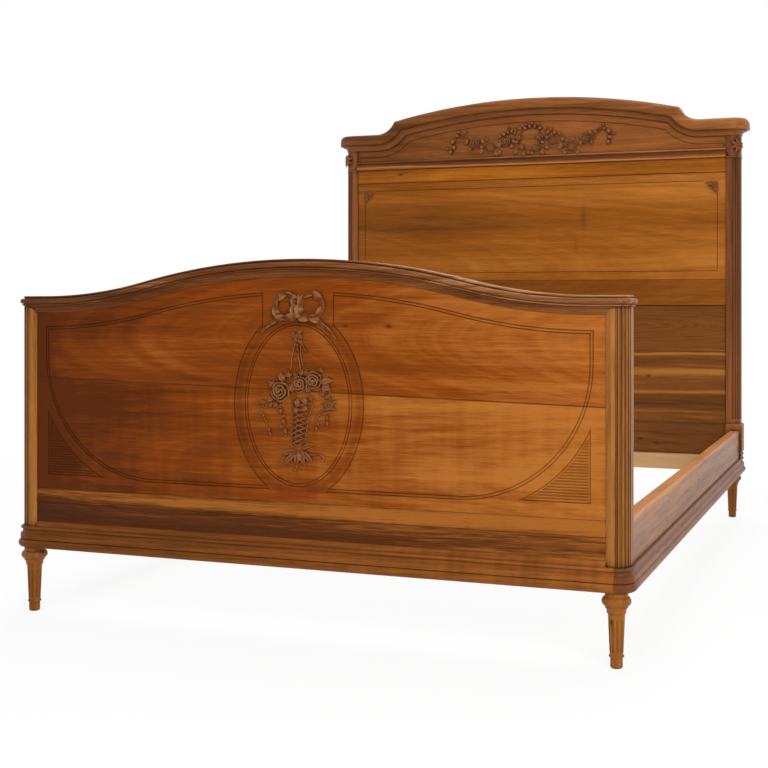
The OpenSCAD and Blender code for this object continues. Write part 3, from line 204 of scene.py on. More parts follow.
class Nodes:
    """A tree of nodes that are written as expressions."""

    def __init__(self, owner, kind):
        owner.use_nodes = True
        self.tree = owner.node_tree
        self.tree.nodes.clear()
        self.output = self.tree.nodes.new("ShaderNodeOutput" + kind)

    def node(self, kind, settings=None, inputs=None, out=0):
        """Any node: its settings first, then its inputs, then one of its outputs."""
        made = self.tree.nodes.new("ShaderNode" + kind)
        for name, value in (settings or {}).items():
            if name == "stops":
                ramp = made.color_ramp
                while len(ramp.elements) < len(value):
                    ramp.elements.new(1.0)
                for element, (place, colour) in zip(ramp.elements, value):
                    element.position = place
                    element.color = (*colour, 1.0)
            else:
                setattr(made, name, value)
        for name, value in (inputs or {}).items():
            self.feed(made.inputs[name], value)
        return Value(self, made.outputs[out])

    def feed(self, socket, value):
        """Gives an input a constant, or what another node makes."""
        if isinstance(value, Value):
            self.tree.links.new(value.socket, socket)
        else:
            socket.default_value = value

    def show(self, surface):
        """Makes this the surface that the renderer sees."""
        self.feed(self.output.inputs["Surface"], surface)

    def seen_by(self, *rays):
        """1 for a ray of one of these kinds, 0 for the others."""
        seen, *others = (self.node("LightPath", out=f"Is {ray} Ray") for ray in rays)
        for other in others:
            seen = seen.most(other)
        return seen

    def noise(self, x, y, z, detail=2.0, roughness=0.5):
        """Noise round 0, nearly always between -0.5 and 0.5."""
        where = self.node("CombineXYZ", inputs={0: x, 1: y, 2: z})
        return self.node("TexNoise", {"noise_dimensions": "3D"},
                         {"Vector": where, "Scale": 1.0, "Detail": detail, "Roughness": roughness}) - 0.5

    def noise_line(self, w, detail=2.0, roughness=0.5):
        """The same, along one number."""
        return self.node("TexNoise", {"noise_dimensions": "1D"},
                         {"W": w, "Scale": 1.0, "Detail": detail, "Roughness": roughness}) - 0.5

    def mix(self, factor, a, b):
        """Two colours by a factor."""
        def opaque(c):
            return c if isinstance(c, Value) else (*c[:3], 1.0)
        return self.node("Mix", {"data_type": "RGBA"}, {0: factor, 6: opaque(a), 7: opaque(b)}, out=2)


class Finish(Nodes):
    """A material round one shader."""

    def __init__(self, name, **constants):
        self.material = bpy.data.materials.new(name)
        super().__init__(self.material, "Material")
        self.shader = self.tree.nodes.new("ShaderNodeBsdfPrincipled")
        self.lit = Value(self, self.shader.outputs[0])
        self.show(self.lit)
        self.set(**constants)

    def set(self, **sockets):
        """Feeds inputs of the shader, named with _ for a space."""
        for name, value in sockets.items():
            self.feed(self.shader.inputs[name.replace("_", " ")], value)

    def place(self):
        """X, Y and Z of the surface point."""
        where = self.node("TexCoord", out="Object")
        return tuple(self.node("SeparateXYZ", inputs={0: where}, out=i) for i in range(3))

    def occluded_shade(self, reach):
        """Painted shade from occlusion: 1 deep in a corner or groove, 0 in the open."""
        open_air = self.node("AmbientOcclusion", {"samples": 6}, {"Distance": reach}, out="AO")
        return ((1.0 - open_air) * 1.5).clamped()


def shade(colour, factor, warm=0.0):
    """A colour made lighter or darker; warm takes blue out, or puts it in where it is below zero."""
    shares = (1 + 0.3 * warm, 1 + 0.02 * warm, 1 - 0.7 * warm)
    return tuple(min(1.0, max(0.0, c * factor * share)) for c, share in zip(colour, shares))


def wood(name, middle, grain="x", seed=0.0, dark=0.4, light=1.6, warm_light=-0.05, pith=(0.0, 0.3),
         slope=0.03, ring=200.0, rings=0.3, fibre=0.3, streak=0.42, patch=0.3, wander=0.03, bars=0.0,
         bars_from=None, tilt=0.0, rough=0.42, gloss=0.14, cavity=0.85, reach=None, wear=0.3, figure=0.35,
         bright=None, oval=0.0, knots=(), bands=(), stains=(), seams=(), below=()):
    """Waxed wood. Grain is the axis along the fibres. The growth rings lie round a pith that runs
    along the board at a height and a depth behind it, and slope lets the board cut through them.
    Bands are lighter or darker stripes along the board: their height, width and amount. Stains are
    round patches of it: their place and reach along and across, and their amount. Seams are the
    lines between boards: their height and how much they rise with x. Below gives a height and how
    much lighter or darker the wood is under it. Oval is the same for the band between the two lines
    of the footboard's oval, which is painted shade for the hollow moulding there. Knots have a place
    along and across, and a size. Figure is the strength of the short fine streaks, and tilt makes the
    wood lighter along x, partly as its own tone and partly as painted light that falls off to the
    left. Bright is the colour of the lightest wood, in screen levels, where light alone can't give
    it. Corners and grooves get painted shade, and edges are rubbed lighter, partly worn and partly a
    painted highlight."""
    sizes = bpy.context.scene.bedstead_sizes
    f = Finish(name, Specular_IOR_Level=gloss)
    x, y, z = f.place()
    along, across, depth = {"x": (x, z, y), "y": (y, z, x), "z": (z, x, y)}[grain]
    # Noise scales are steps per metre, always finer across the fibres than along them
    drift = f.noise(along * 1.3 + seed, across * 3.0, depth * 3.0 + seed * 1.7, detail=2)
    tremble = f.noise(along * 8.0 + seed, across * 24.0, depth * 24.0, detail=1)
    height = across + drift * wander + tremble * 0.003 - pith[0]
    core = depth * 0.6 + along * slope + drift * wander * 0.5 + pith[1]
    knot_shade = None
    for k_along, k_across, k_size in knots:
        off = ((along - k_along) * 0.5 / k_size) ** 2.0 + ((across - k_across) / k_size) ** 2.0
        near = 0.35 ** off
        height = height + near * k_size * 0.8
        knot_shade = near ** 3.0 if knot_shade is None else knot_shade.most(near ** 3.0)
    radius = (height * height + core * core) ** 0.5
    weave = f.noise(along * 16.0 + seed, height * 400.0, depth * 300.0, detail=2, roughness=0.6)
    ring_tone = f.noise_line(radius * ring + seed * 5.0, detail=3, roughness=0.62)
    streak_tone = f.noise(along * 1.5 + seed * 4.0, height * 48.0, depth * 30.0, detail=3, roughness=0.6)
    fibre_tone = f.noise(along * 4.5 + seed * 2.0, height * 110.0, depth * 80.0, detail=3, roughness=0.65)
    patch_tone = f.noise(along * 2.2 + seed * 3.0, across * 6.0, depth * 6.0, detail=2, roughness=0.5)
    pore = f.noise(along * 36.0 + seed, height * 850.0, depth * 600.0, detail=1).step(0.1, 0.24)
    tone = (ring_tone * rings + fibre_tone * fibre + weave * figure
            + streak_tone * streak + patch_tone * patch + 0.5)
    if bars:
        ripple = f.noise(along * 34.0 + seed, across * 4.0, depth * 4.0, detail=1) * bars
        tone = tone + (ripple if bars_from is None else ripple * along.step(*bars_from))
    # Lighter along x: partly the wood's own tone, partly painted light that falls off towards the left
    if tilt:
        tone = tone + x * tilt
    for b_height, b_width, b_amount in bands:
        tone = tone + (height + pith[0]).hump(b_height, b_width) * b_amount
    for s_along, s_across, s_long, s_wide, s_amount in stains:
        off = ((along - s_along) / s_long) ** 2.0 + ((across + drift * 0.05 - s_across) / s_wide) ** 2.0
        tone = tone + (0.35 ** off) * s_amount
    # Painted shade: the band between the oval's two lines is darkened for the shading of its hollow moulding
    if oval:
        off = ((along / OVAL_REACH[0]) ** 2.0 + ((across - OVAL_MIDDLE) / OVAL_REACH[1]) ** 2.0) ** 0.5
        front = 1.0 - depth.step(FOOT_FACE + 0.004, FOOT_FACE + 0.006)
        tone = tone + off.hump(*OVAL_SHADE_BAND) * front * oval
    for l_height, l_amount in below:
        tone = tone + (1.0 - across.step(l_height - 0.001, l_height + 0.001)) * l_amount
    lightest = srgb(*bright) if bright else shade(middle, light, warm_light)
    stops = [(0.2, shade(middle, dark, WARM)), (0.5, tuple(middle)), (0.82, lightest)]
    colour = f.node("ValToRGB", {"stops": stops}, {"Fac": tone})
    colour = f.mix(pore * 0.3, colour, shade(middle, dark * 0.6, WARM))
    if knot_shade is not None:
        colour = f.mix(knot_shade * 0.85, colour, shade(middle, 0.14, 0.4))
    for s_height, s_rise in seams:
        line = (across - x * s_rise).hump(s_height, 0.0014)
        colour = f.mix(line * 0.7, colour, shade(middle, 0.16, WARM))
    rounded = f.node("Bevel", {"samples": 4}, {"Radius": sizes.edge_round})
    flat = f.node("NewGeometry", out="Normal")
    edge = 1.0 - f.node("VectorMath", {"operation": "DOT_PRODUCT"}, {0: rounded, 1: flat}, out="Value")
    # Edges rubbed lighter: partly worn wood, partly a painted highlight along the edges
    rub = f.noise(x * 9.0 + seed, y * 9.0, z * 9.0, detail=2) + 0.5
    colour = f.mix((edge * 2.2 * rub).clamped() * wear, colour, shade(middle, 2.1, -0.1))
    # Painted shade: corners, grooves and flutes are darkened where little light reaches them
    if cavity:
        colour = f.mix(f.occluded_shade(reach or sizes.shade_reach) * cavity, colour, shade(middle, 0.10, WARM))
    relief = fibre_tone * 0.5 - pore * 0.5 + ring_tone * 0.25
    normal = f.node("Bump", inputs={"Strength": 0.35, "Distance": 0.0006, "Height": relief,
                                    "Normal": rounded})
    f.set(Base_Color=colour, Roughness=patch_tone * 0.16 + pore * 0.18 + rough, Normal=normal)
    return f.material


def carved_wood(name, middle, seed=0.0, deep=0.9, lift=1.0, reach=0.009, face=None, tops=0.35):
    """Carved walnut, with painted shade that makes it nearly black in the hollows, and high points that are
    lighter, partly as worn wood and partly as a painted highlight. Face is the y of a flat board under the
    carving, and the top highlight is how much lighter the highest wood is painted."""
    f = Finish(name, Specular_IOR_Level=0.2)
    x, y, z = f.place()
    fibre = f.noise(x * 25.0 + seed, y * 400.0, z * 400.0, detail=2)
    cloud = f.noise(x * 40.0 + seed, y * 40.0, z * 40.0, detail=2)
    pointed_out = f.node("NewGeometry", out="Pointiness")
    crest = pointed_out.step(0.51, 0.57)
    groove = 1.0 - pointed_out.step(0.44, 0.5)
    colour = f.mix((fibre * 0.7 + cloud * 0.8 + 0.5).clamped(), shade(middle, 0.55 * lift, 0.2),
                   shade(middle, 1.25 * lift, 0.0))
    if face is not None:
        # Painted highlight: the wood that stands highest out of the board is painted lighter
        colour = f.mix((face - y).step(0.0045, 0.0115) * tops, colour, shade(srgb(*CARVING_HIGHLIGHT), lift))
    # Ridges are lighter, partly as worn wood and partly as a painted highlight
    colour = f.mix(crest * 0.75, colour, shade(middle, 3.6 * lift, -1.2))
    # Painted shade in the hollows and grooves, from occlusion and from how sunken the mesh is
    dark = f.occluded_shade(reach).most(groove * 0.95)
    colour = f.mix(dark * deep, colour, shade(middle, 0.1, WARM))
    f.set(Base_Color=colour, Roughness=cloud * 0.2 + 0.34,
          Normal=f.node("Bump", inputs={"Strength": 0.3, "Distance": 0.0005, "Height": fibre}))
    return f.material


def metal(name, colour, rough):
    """Dull iron or steel, lighter and darker in soft random clouds."""
    f = Finish(name, Metallic=1.0)
    x, y, z = f.place()
    cloud = f.noise(x * 60.0, y * 60.0, z * 60.0, detail=3)
    grit = f.noise(x * 900.0, y * 900.0, z * 900.0, detail=2)
    f.set(Base_Color=f.mix((cloud * 1.2 + 0.5).clamped(), shade(colour, 0.6), shade(colour, 1.3)),
          Roughness=cloud * 0.3 + rough,
          Normal=f.node("Bump", inputs={"Strength": 0.4, "Distance": 0.0003, "Height": grit}))
    return f.material


# Colour, grain axis and shared settings of each group of boards, and what is special to each board
BOARD_GROUPS = (
    ("golden", "z", dict(streak=1.0, figure=0.6, reach=0.02, cavity=1.0, wear=0.7), {
        "foot_post_left": dict(seed=1.3),
        "foot_post_right": dict(seed=5.1)}),
    ("cap", "x", dict(gloss=0.1, rough=0.5), {
        "foot_cap": dict(seed=2.2, streak=0.9, tilt=0.16, cavity=0.6, bright=(178, 126, 80)),
        "foot_cap_ogee": dict(seed=3.7, streak=0.8, tilt=0.1, bright=(150, 96, 52))}),
    ("panel", "x", dict(gloss=0.08, figure=0.42, oval=-0.14, seams=(FOOT_JOINT,)), {
        # The first patch on each of these two boards is a darker strip beside the left post
        "foot_panel_upper": dict(
            seed=4.4, pith=(0.70, 0.11), slope=0.055, tilt=0.34, bright=(170, 100, 38), cavity=0.5,
            knots=((0.229, 0.729, 0.0075), (0.122, 0.729, 0.005)),
            stains=((-0.72, 0.70, 0.03, 0.3, -0.3), (-0.45, 0.66, 0.2, 0.05, 0.14),
                    (0.35, 0.64, 0.2, 0.03, -0.1))),
        "foot_panel_lower": dict(
            seed=7.9, pith=(0.40, 0.16), tilt=0.38, bars=0.2, bright=(170, 103, 38), cavity=0.38,
            stains=((-0.70, 0.42, 0.06, 0.2, -0.26), (-0.5, 0.54, 0.25, 0.05, -0.12),
                    (-0.35, 0.42, 0.15, 0.04, 0.14), (0.3, 0.55, 0.4, 0.02, 0.2),
                    (0.5, 0.40, 0.25, 0.03, 0.16)))}),
    ("dark", "x", {}, {
        # Its first band is a painted highlight on the rail's bevelled top, which faces up to the light; the
        # second darkens the lower face
        "foot_bottom_rail": dict(
            seed=6.3, streak=0.4, tilt=0.24, gloss=0.08, bright=(158, 94, 34), dark=0.55, figure=0.6,
            fibre=0.4, bands=((0.304, 0.017, 0.32), (0.25, 0.01, -0.1)))}),
    ("plinth", "x", {}, {
        "foot_plinth_front": dict(seed=8.8, bars=0.5, bars_from=(-0.1, 0.5), tilt=0.22, gloss=0.08,
                                  figure=0.5, light=1.8, warm_light=-0.2)}),
    ("red", "z", {}, {
        "foot_plinth_corner_left": dict(seed=9.1),
        "foot_plinth_corner_right": dict(seed=10.7),
        "head_plinth_corner_left": dict(seed=11.2),
        "head_plinth_corner_right": dict(seed=12.9)}),
    ("foot", "z", dict(cavity=0.35, streak=0.7, figure=0.6), {
        "front_foot_left": dict(seed=13.1),
        "front_foot_right": dict(seed=14.6, knots=((0.10, 0.742, 0.006),)),
        "rear_foot_left": dict(seed=15.2),
        "rear_foot_right": dict(seed=16.8)}),
    ("rail", "y", dict(rings=0.2, figure=0.6), {
        "side_rail_left": dict(seed=17.4, pith=(0.26, 0.8), streak=0.7, bands=((0.317, 0.006, 0.3),)),
        "side_rail_right": dict(seed=18.3, pith=(0.26, -0.6), streak=0.8, gloss=0.24,
                                bands=((0.317, 0.006, 0.4), (0.25, 0.02, -0.15)))}),
    ("plinth", "y", dict(gloss=0.2, streak=0.8, figure=0.5), {
        "side_plinth_left": dict(seed=19.5),
        "side_plinth_right": dict(seed=20.1)}),
    ("beech", "y", dict(rings=0.2, dark=0.7, light=1.2), {
        "side_ledger_left": dict(seed=21.7),
        "side_ledger_right": dict(seed=22.4)}),
    ("beech", "x", dict(rings=0.2, dark=0.7, light=1.2), {
        "head_cross_rail": dict(seed=34.1)}),
    ("shadow", "z", dict(streak=0.8, reach=0.02, cavity=1.0, gloss=0.12, figure=0.5), {
        "head_post_left": dict(seed=23.9, bands=((-0.745, 0.012, 0.2),)),
        "head_post_right": dict(seed=24.2, stains=((0.3, 0.75, 0.4, 0.1, 0.25),))}),
    ("cornice", "x", {}, {
        "head_cornice": dict(seed=25.6, streak=1.0, tilt=0.12, light=1.9, figure=0.5,
                             stains=((-0.5, 1.45, 0.4, 0.05, -0.25),)),
        "head_cove": dict(seed=26.3, streak=0.5, light=1.8),
        "head_frieze_astragal": dict(
            seed=28.4, streak=0.5, light=2.2, tilt=0.04, cavity=0.6,
            bands=((1.3475, 0.003, 0.3), (1.318, 0.003, 0.32), (1.334, 0.008, -0.3)))}),
    ("frieze", "x", {}, {
        "head_frieze": dict(seed=27.7, pith=(1.2, 0.4), tilt=0.04, figure=0.5, light=1.7,
                            stains=((-0.62, 1.38, 0.2, 0.06, -0.15), (0.1, 1.47, 0.2, 0.03, 0.15)))}),
    ("head_panel", "x", {}, {
        "head_top_rail": dict(seed=29.9, light=2.0, warm_light=-0.3, figure=0.5,
                              stains=((-0.2, 1.28, 0.5, 0.03, 0.16),), knots=((-0.545, 1.292, 0.009),)),
        "head_panel_upper": dict(
            seed=30.5, pith=(0.9, 0.3), tilt=0.14, streak=0.3, patch=0.2, fibre=0.2, cavity=0.6,
            bright=(188, 118, 46), bands=((1.09, 0.05, -0.1), (0.93, 0.03, 0.1), (1.2, 0.03, 0.1)),
            below=((0.868, -0.2),),
            stains=((-0.4, 1.09, 0.25, 0.05, -0.05), (0.2, 1.11, 0.010, 0.05, -0.12),
                    (0.17, 1.0, 0.008, 0.03, -0.1)))}),
    ("plank", "x", {}, {
        "head_plank_upper": dict(seed=31.2, pith=(0.70, -0.649), slope=0.12, rings=0.42, ring=230.0,
                                 streak=0.15, patch=0.15, figure=0.45, wander=0.02),
        "head_plank_middle": dict(
            seed=32.8, knots=((0.445, 0.51, 0.010),), streak=0.35, bright=(166, 108, 38),
            bands=((0.587, 0.004, 0.3), (0.522, 0.012, 0.28), (0.448, 0.007, 0.24), (0.379, 0.005, 0.16),
                   (0.41, 0.03, -0.15), (0.56, 0.02, -0.12))),
        "head_plank_lower": dict(
            seed=33.3, knots=((0.413, 0.276, 0.010), (0.473, 0.262, 0.009)), streak=0.4, tilt=-0.06,
            figure=0.5, stains=((0.5, 0.29, 0.15, 0.04, -0.12),))}),
)
BOARDS = {node: (colour, grain, {**shared, **own})
          for colour, grain, shared, nodes in BOARD_GROUPS for node, own in nodes.items()}
FITTINGS = {"iron": ("rail_hooks", "post_slot_plates"),
            "steel": ("ledger_screws", "rail_hook_pins", "slot_plate_screws")}
# Moulded nodes that a smooth copy stands for, with their slot in the record
SMOOTHED = {"foot_cap": "walnut_cap", "foot_cap_ogee": "walnut_cap", "head_cornice": "walnut_cap",
            "head_cove": "walnut_dark"}


def select_only(*objects):
    """Leaves just these selected, the last of them active."""
    bpy.ops.object.select_all(action="DESELECT")
    for item in objects:
        item.select_set(True)
    bpy.context.view_layer.objects.active = objects[-1]


def wear_finish(piece, material):
    """Gives a piece one material for all its faces."""
    piece.data.materials.clear()
    piece.data.materials.append(material)


def board_finish(node):
    """The wood of one board, with the lines between the flush boards of the headboard."""
    colour, grain, differs = BOARDS[node]
    if "plank" in node or node in ("head_top_rail", "head_panel_upper"):
        low, high = (corner[2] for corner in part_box(node))
        tongue = 0.0 if node == "head_top_rail" else TONGUE
        heights = (low, high - tongue, *(height for height, _ in differs.get("below", ())))
        differs = dict(differs, seams=tuple((height, 0.0) for height in heights))
    middle = tuple(getattr(bpy.context.scene.bedstead_colours, colour))
    return wood("walnut_" + node, middle, grain=grain, **differs)


def stand_in(piece, node):
    """Lets a piece stand for a node of the frame."""
    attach(piece, "root")
    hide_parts(node)


# Cross-sections that strokes are drawn with, across the stroke and out of the board, 1 to each side
PROFILES = {
    "round": [(math.cos(math.pi * i / 4), math.sin(math.pi * i / 4)) for i in range(8)],
    "leaf": [(-1, 0.05), (-0.72, 0.5), (-0.3, 0.42), (0, 0.12), (0.3, 0.42), (0.72, 0.5), (1, 0.05),
             (0.7, -0.4), (-0.7, -0.4)],
    "petal": [(-0.36, -1), (0.36, -1), (0.34, 0.2), (0.2, 0.88), (0, 1), (-0.2, 0.88), (-0.34, 0.2)],
    "strap": [(-1, 0.2), (-0.8, 0.22), (0, 0.12), (0.8, 0.22), (1, 0.2), (1, -0.2), (-1, -0.2)],
}


def even(t):
    """The same width all along."""
    return 1.0


def pointed(t):
    """Width of a leaf from its foot to its tip."""
    return 0.1 + 0.9 * math.sin(math.pi * min(1.0, t * 0.9 + 0.12)) ** 0.8


def drop(t):
    """Width of a bud from its stalk to its round end."""
    return 0.15 + 0.85 * math.sin(math.pi * min(0.93, 0.05 + t * 0.9) ** 1.4) ** 0.6


def arched(low):
    """Width or height that is low at both ends and 1 in the middle."""
    return lambda t: low + (1.0 - low) * math.sin(math.pi * t)


def thinning(t):
    """Width of a tail from where it is tied to its end."""
    return 1.0 - 0.55 * t


def ray(turn, *steps, start=(0, 0)):
    """Points in line from a start, at a turn in degrees. A step gives how far out it is and its h."""
    a = math.radians(turn)
    return [(start[0] + far * math.cos(a), start[1] + far * math.sin(a), h) for far, h in steps]


def smooth_path(points, count):
    """Points on a smooth curve through the ones given, which have u, v and h."""
    path = [Vector(p) for p in points]
    path = [path[0] * 2 - path[1]] + path + [path[-1] * 2 - path[-2]]
    result = []
    for i in range(count):
        s = i * (len(points) - 1) / (count - 1)
        k = min(int(s), len(points) - 2)
        t = s - k
        a, b, c, d = path[k:k + 4]
        result.append((b * 2 + (c - a) * t + (a * 2 - b * 5 + c * 4 - d) * t * t
                       + (b * 3 - a - c * 3 + d) * t * t * t) * 0.5)
    return result


class Relief:
    """A carving drawn with strokes and copied motifs. It lies in its own plane, in millimetres:
    u to the right, v up, and h out of the board."""

    def __init__(self, name):
        self.name = name
        self.strokes = {}
        self.pieces = []

    def stroke(self, kind, points, width, widths=even, turn=0.0, count=9):
        """One bent bar with a profile. Widths gives its width along it, and turn leans it, in degrees."""
        points = [(*p, 0.0)[:3] for p in points]
        self.strokes.setdefault(kind, []).append((smooth_path(points, count), width, widths, turn))

    def strand(self, points, width, count=9, widths=even):
        """A round stroke."""
        self.stroke("round", points, width, widths, count=count)

    def blade(self, points, width, count=9):
        """A grooved stroke that narrows to a point, as a leaf does."""
        self.stroke("leaf", points, width, pointed, count=count)

    def arc(self, kind, radius, start, end, h, width, widths=even, turn=0.0, draw_in=0.0):
        """A stroke round the middle, with its angles in degrees, that is drawn in towards its end."""
        path = []
        for i in range(5):
            a = math.radians(start + (end - start) * i / 4)
            r = radius * (1 - draw_in * i / 4)
            path.append((r * math.cos(a), r * math.sin(a), h))
        self.stroke(kind, path, width, widths, turn)

    def add(self, motif, u, v, size, turn=0.0, h=0.0, depth=1.0):
        """A copy of a motif, which is 10 mm in radius or length, with its turn in degrees."""
        select_only(motif)
        bpy.ops.object.duplicate(linked=False)
        copy = bpy.context.active_object
        copy.location = (u, v, h)
        copy.rotation_euler = (0, 0, math.radians(turn))
        copy.scale = (size / 10, size / 10, depth * size / 10)
        self.pieces.append(copy)

    def scatter(self, motif, places, **more):
        """Copies of a motif at places that have u, v, size and turn."""
        for place in places:
            self.add(motif, *place, **more)

    def draw(self):
        """Turns the strokes into closed meshes."""
        for kind, strokes in self.strokes.items():
            profile = self.curve("profile_" + kind)
            self.spline(profile, [Vector((*p, 0)) for p in PROFILES[kind]], cyclic=True)
            bar = self.curve(self.name + "_" + kind)
            bar.data.dimensions = "3D"
            bar.data.twist_mode = "Z_UP"
            bar.data.bevel_mode = "OBJECT"
            bar.data.bevel_object = profile
            bar.data.use_fill_caps = True
            for path, width, widths, turn in strokes:
                points = self.spline(bar, path)
                for i, point in enumerate(points):
                    t = i / (len(points) - 1)
                    point.radius = width * widths(t)
                    point.tilt = math.radians(turn)
            select_only(bar)
            bpy.ops.object.convert(target="MESH")
            self.pieces.append(bpy.context.active_object)
            select_only(profile)
            bpy.ops.object.delete()

    @staticmethod
    def curve(name):
        """An empty curve."""
        bpy.ops.object.select_all(action="DESELECT")
        bpy.ops.curve.primitive_bezier_curve_add(location=(0, 0, 0))
        made = bpy.context.active_object
        made.name = name
        made.data.splines.clear()
        return made

    @staticmethod
    def spline(curve, path, cyclic=False):
        """Straight steps along a path, added to a curve."""
        spline = curve.data.splines.new("POLY")
        spline.points.add(len(path) - 1)
        spline.use_cyclic_u = cyclic
        for point, place in zip(spline.points, path):
            point.co = (*place, 1.0)
        return spline.points

    def merge(self):
        """Joins all that is drawn into one mesh with its faces outwards."""
        self.draw()
        select_only(*self.pieces)
        if len(self.pieces) > 1:
            bpy.ops.object.join()
        made = bpy.context.active_object
        made.name = self.name
        bpy.ops.object.transform_apply(location=True, rotation=True, scale=True)
        bpy.ops.object.mode_set(mode="EDIT")
        bpy.ops.mesh.select_all(action="SELECT")
        bpy.ops.mesh.remove_doubles(threshold=0.001)
        bpy.ops.mesh.normals_make_consistent(inside=False)
        bpy.ops.object.mode_set(mode="OBJECT")
        return made


def motif_rose():
    """A full rose: three rings of leaning petals round a rolled heart."""
    r = Relief("motif_rose")
    r.strand([(-3.5, 0, -1), (3.5, 0, -1)], 5.6, 5, arched(0.75))
    # Number of petals in a ring, first angle, span, radius, height, breadth, lean and draw inwards
    for n, first, span, radius, h, broad, lean, draw_in in (
            (5, 0, 92, 9.0, 2.2, 3.2, 48, 0.24), (4, 30, 110, 6.2, 3.8, 3.2, 30, 0.3),
            (3, 70, 135, 3.5, 5.0, 2.7, 16, 0.3)):
        for i in range(n):
            start = 360 // n * i + first
            r.arc("petal", radius, start, start + span, h, broad, arched(0.45), lean, draw_in)
    r.arc("round", 0.9, 0, 260, 6.4, 1.0)
    return r.merge()


def motif_dahlia():
    """A wide dark flower: two rings of narrow pointed petals round a button."""
    r = Relief("motif_dahlia")
    for i in range(9):
        r.blade(ray(40 * i, (2.5, 2.2), (6, 2.8), (10, 1.2)), 2.1)
    for i in range(7):
        r.blade(ray(360 / 7 * i + 15, (1, 4.2), (4, 5.0), (6.6, 4.0)), 1.7)
    r.strand([(0, -1.2, 4.8), (0, 1.2, 4.8)], 1.9, 4)
    r.strand([(-3, 0, -0.5), (3, 0, -0.5)], 4.0, 4)
    return r.merge()


def motif_bloom():
    """A small open flower of five cupped petals."""
    r = Relief("motif_bloom")
    for i in range(5):
        r.blade(ray(72 * i + 18, (1, 2.6), (5, 3.4), (9.6, 2.0)), 3.4)
    r.strand([(-0.8, 0, 3.8), (0.8, 0, 3.8)], 2.4, 4)
    return r.merge()


def motif_bud():
    """A round bud in a cup of two small leaves, its stalk at the left."""
    r = Relief("motif_bud")
    r.strand([(-7, 0, 2.2), (-2, 0, 3.6), (8, 0, 3.4)], 6.2, widths=drop)
    for side in (-1, 1):
        r.blade([(-9, 0, 1.2), (-4, side * 4.2, 2.4), (2.5, side * 6.4, 2.6)], 2.4)
    return r.merge()


def motif_leaf():
    """A leaf with three lobes, its stalk at the middle of the motif."""
    r = Relief("motif_leaf")
    r.blade([(0, 0, 1.6), (5, 0.5, 2.8), (10, 0, 1.2)], 2.5)
    for side in (-1, 1):
        r.blade([(1.5, 0, 1.4), (4, side * 2.2, 2.2), (6.6, side * 4.2, 1.2)], 1.6)
    return r.merge()


class Motifs:
    """One of each motif, to copy from."""

    def __init__(self):
        self.rose = motif_rose()
        self.dahlia = motif_dahlia()
        self.bloom = motif_bloom()
        self.bud = motif_bud()
        self.leaf = motif_leaf()

    def clear(self):
        """Deletes the motifs when all copies are made."""
        select_only(self.rose, self.dahlia, self.bloom, self.bud, self.leaf)
        bpy.ops.object.delete()


def set_upright(made, place, turn=0.0):
    """Sets a carving upright at its place, turned about the upright axis, and fuses its strokes."""
    made.rotation_euler = (math.radians(90), 0, math.radians(turn))
    made.scale = (MM, MM, MM)
    made.location = place
    select_only(made)
    bpy.ops.object.transform_apply(location=True, rotation=True, scale=True)
    fuse = made.modifiers.new("fuse", "REMESH")
    fuse.mode = "VOXEL"
    fuse.voxel_size = bpy.context.scene.bedstead_sizes.carving_grain
    bpy.ops.object.modifier_apply(modifier=fuse.name)


def finish_carving(made, node, **finish):
    """Gives a carving its wood, and lets it stand for its node."""
    bpy.ops.object.shade_smooth_by_angle(angle=CARVING_CREASE)
    made.name = node + "_carved"
    middle = tuple(bpy.context.scene.bedstead_colours.carving)
    wear_finish(made, carved_wood("carved_" + node, middle, **finish))
    stand_in(made, node)


def settle(made, node, place, **finish):
    """Sets a carving on its board and cuts it off flat behind the board's face."""
    set_upright(made, place)
    soften = made.modifiers.new("soften", "SMOOTH")
    soften.factor = 0.5
    soften.iterations = 2
    bpy.ops.object.modifier_apply(modifier=soften.name)
    behind = Vector(place) + Vector((0, SUNK, 0))
    bpy.ops.object.mode_set(mode="EDIT")
    bpy.ops.mesh.select_all(action="SELECT")
    bpy.ops.mesh.bisect(plane_co=behind, plane_no=(0, -1, 0), use_fill=True, clear_inner=True)
    bpy.ops.mesh.select_all(action="SELECT")
    bpy.ops.mesh.normals_make_consistent(inside=False)
    bpy.ops.object.mode_set(mode="OBJECT")
    finish_carving(made, node, seed=len(node) * 1.7, face=place[1], **finish)


# Folds of a ribbon in their order: how broad and how high each one is, and its lean in degrees
FOLDS = ((1.2, 7.0, -40), (0.75, 4.0, 25), (1.0, 6.0, 46), (0.6, 3.2, -20), (1.25, 7.0, -30), (0.8, 4.4, 40),
         (0.9, 5.4, -50))


def crinkled(relief, points, width, folds, rise=0.0, widths=even):
    """A ribbon laid in folds: short facets that lean to and fro, over a thin band."""
    relief.stroke("strap", [(*p, 1.4 + rise) for p in points], width * 0.62, widths, count=4 * folds)
    path = smooth_path([(*p, 0) for p in points], 4 * folds + 1)
    for i in range(folds):
        a, b, c = (path[4 * i + k] for k in (0, 2, 4))
        aside = (c - a).normalized() * 2.0
        broad, high, lean = FOLDS[i % len(FOLDS)]
        facet = [(a.x - aside.x, a.y - aside.y, 1.8 + rise), (b.x, b.y, high + rise),
                 (c.x + aside.x, c.y + aside.y, 2.8 + rise)]
        relief.stroke("strap", facet, width * broad * widths(i / folds), arched(0.5), lean, count=7)


# Paths of the bow over the oval, in millimetres from the middle of the oval
BOW_LEFT = [(-4, 206), (-20, 202), (-38, 203), (-50, 210), (-56, 224), (-54, 240), (-44, 252), (-29, 258),
            (-13, 253), (-7, 240), (-6, 224), (-3, 208)]
BOW_RIGHT = [(8, 206), (23, 202), (40, 203), (56, 211), (64, 224), (63, 240), (53, 251), (38, 258),
             (20, 254), (10, 241), (7, 225), (5, 209)]
BOW_TAIL_RIGHT = [(34, 205), (50, 199), (60, 190), (72, 182), (82, 174), (90, 165), (97, 154)]
BOW_TAIL_LEFT = [(-34, 204), (-50, 199), (-62, 191), (-74, 184), (-84, 177), (-92, 168)]


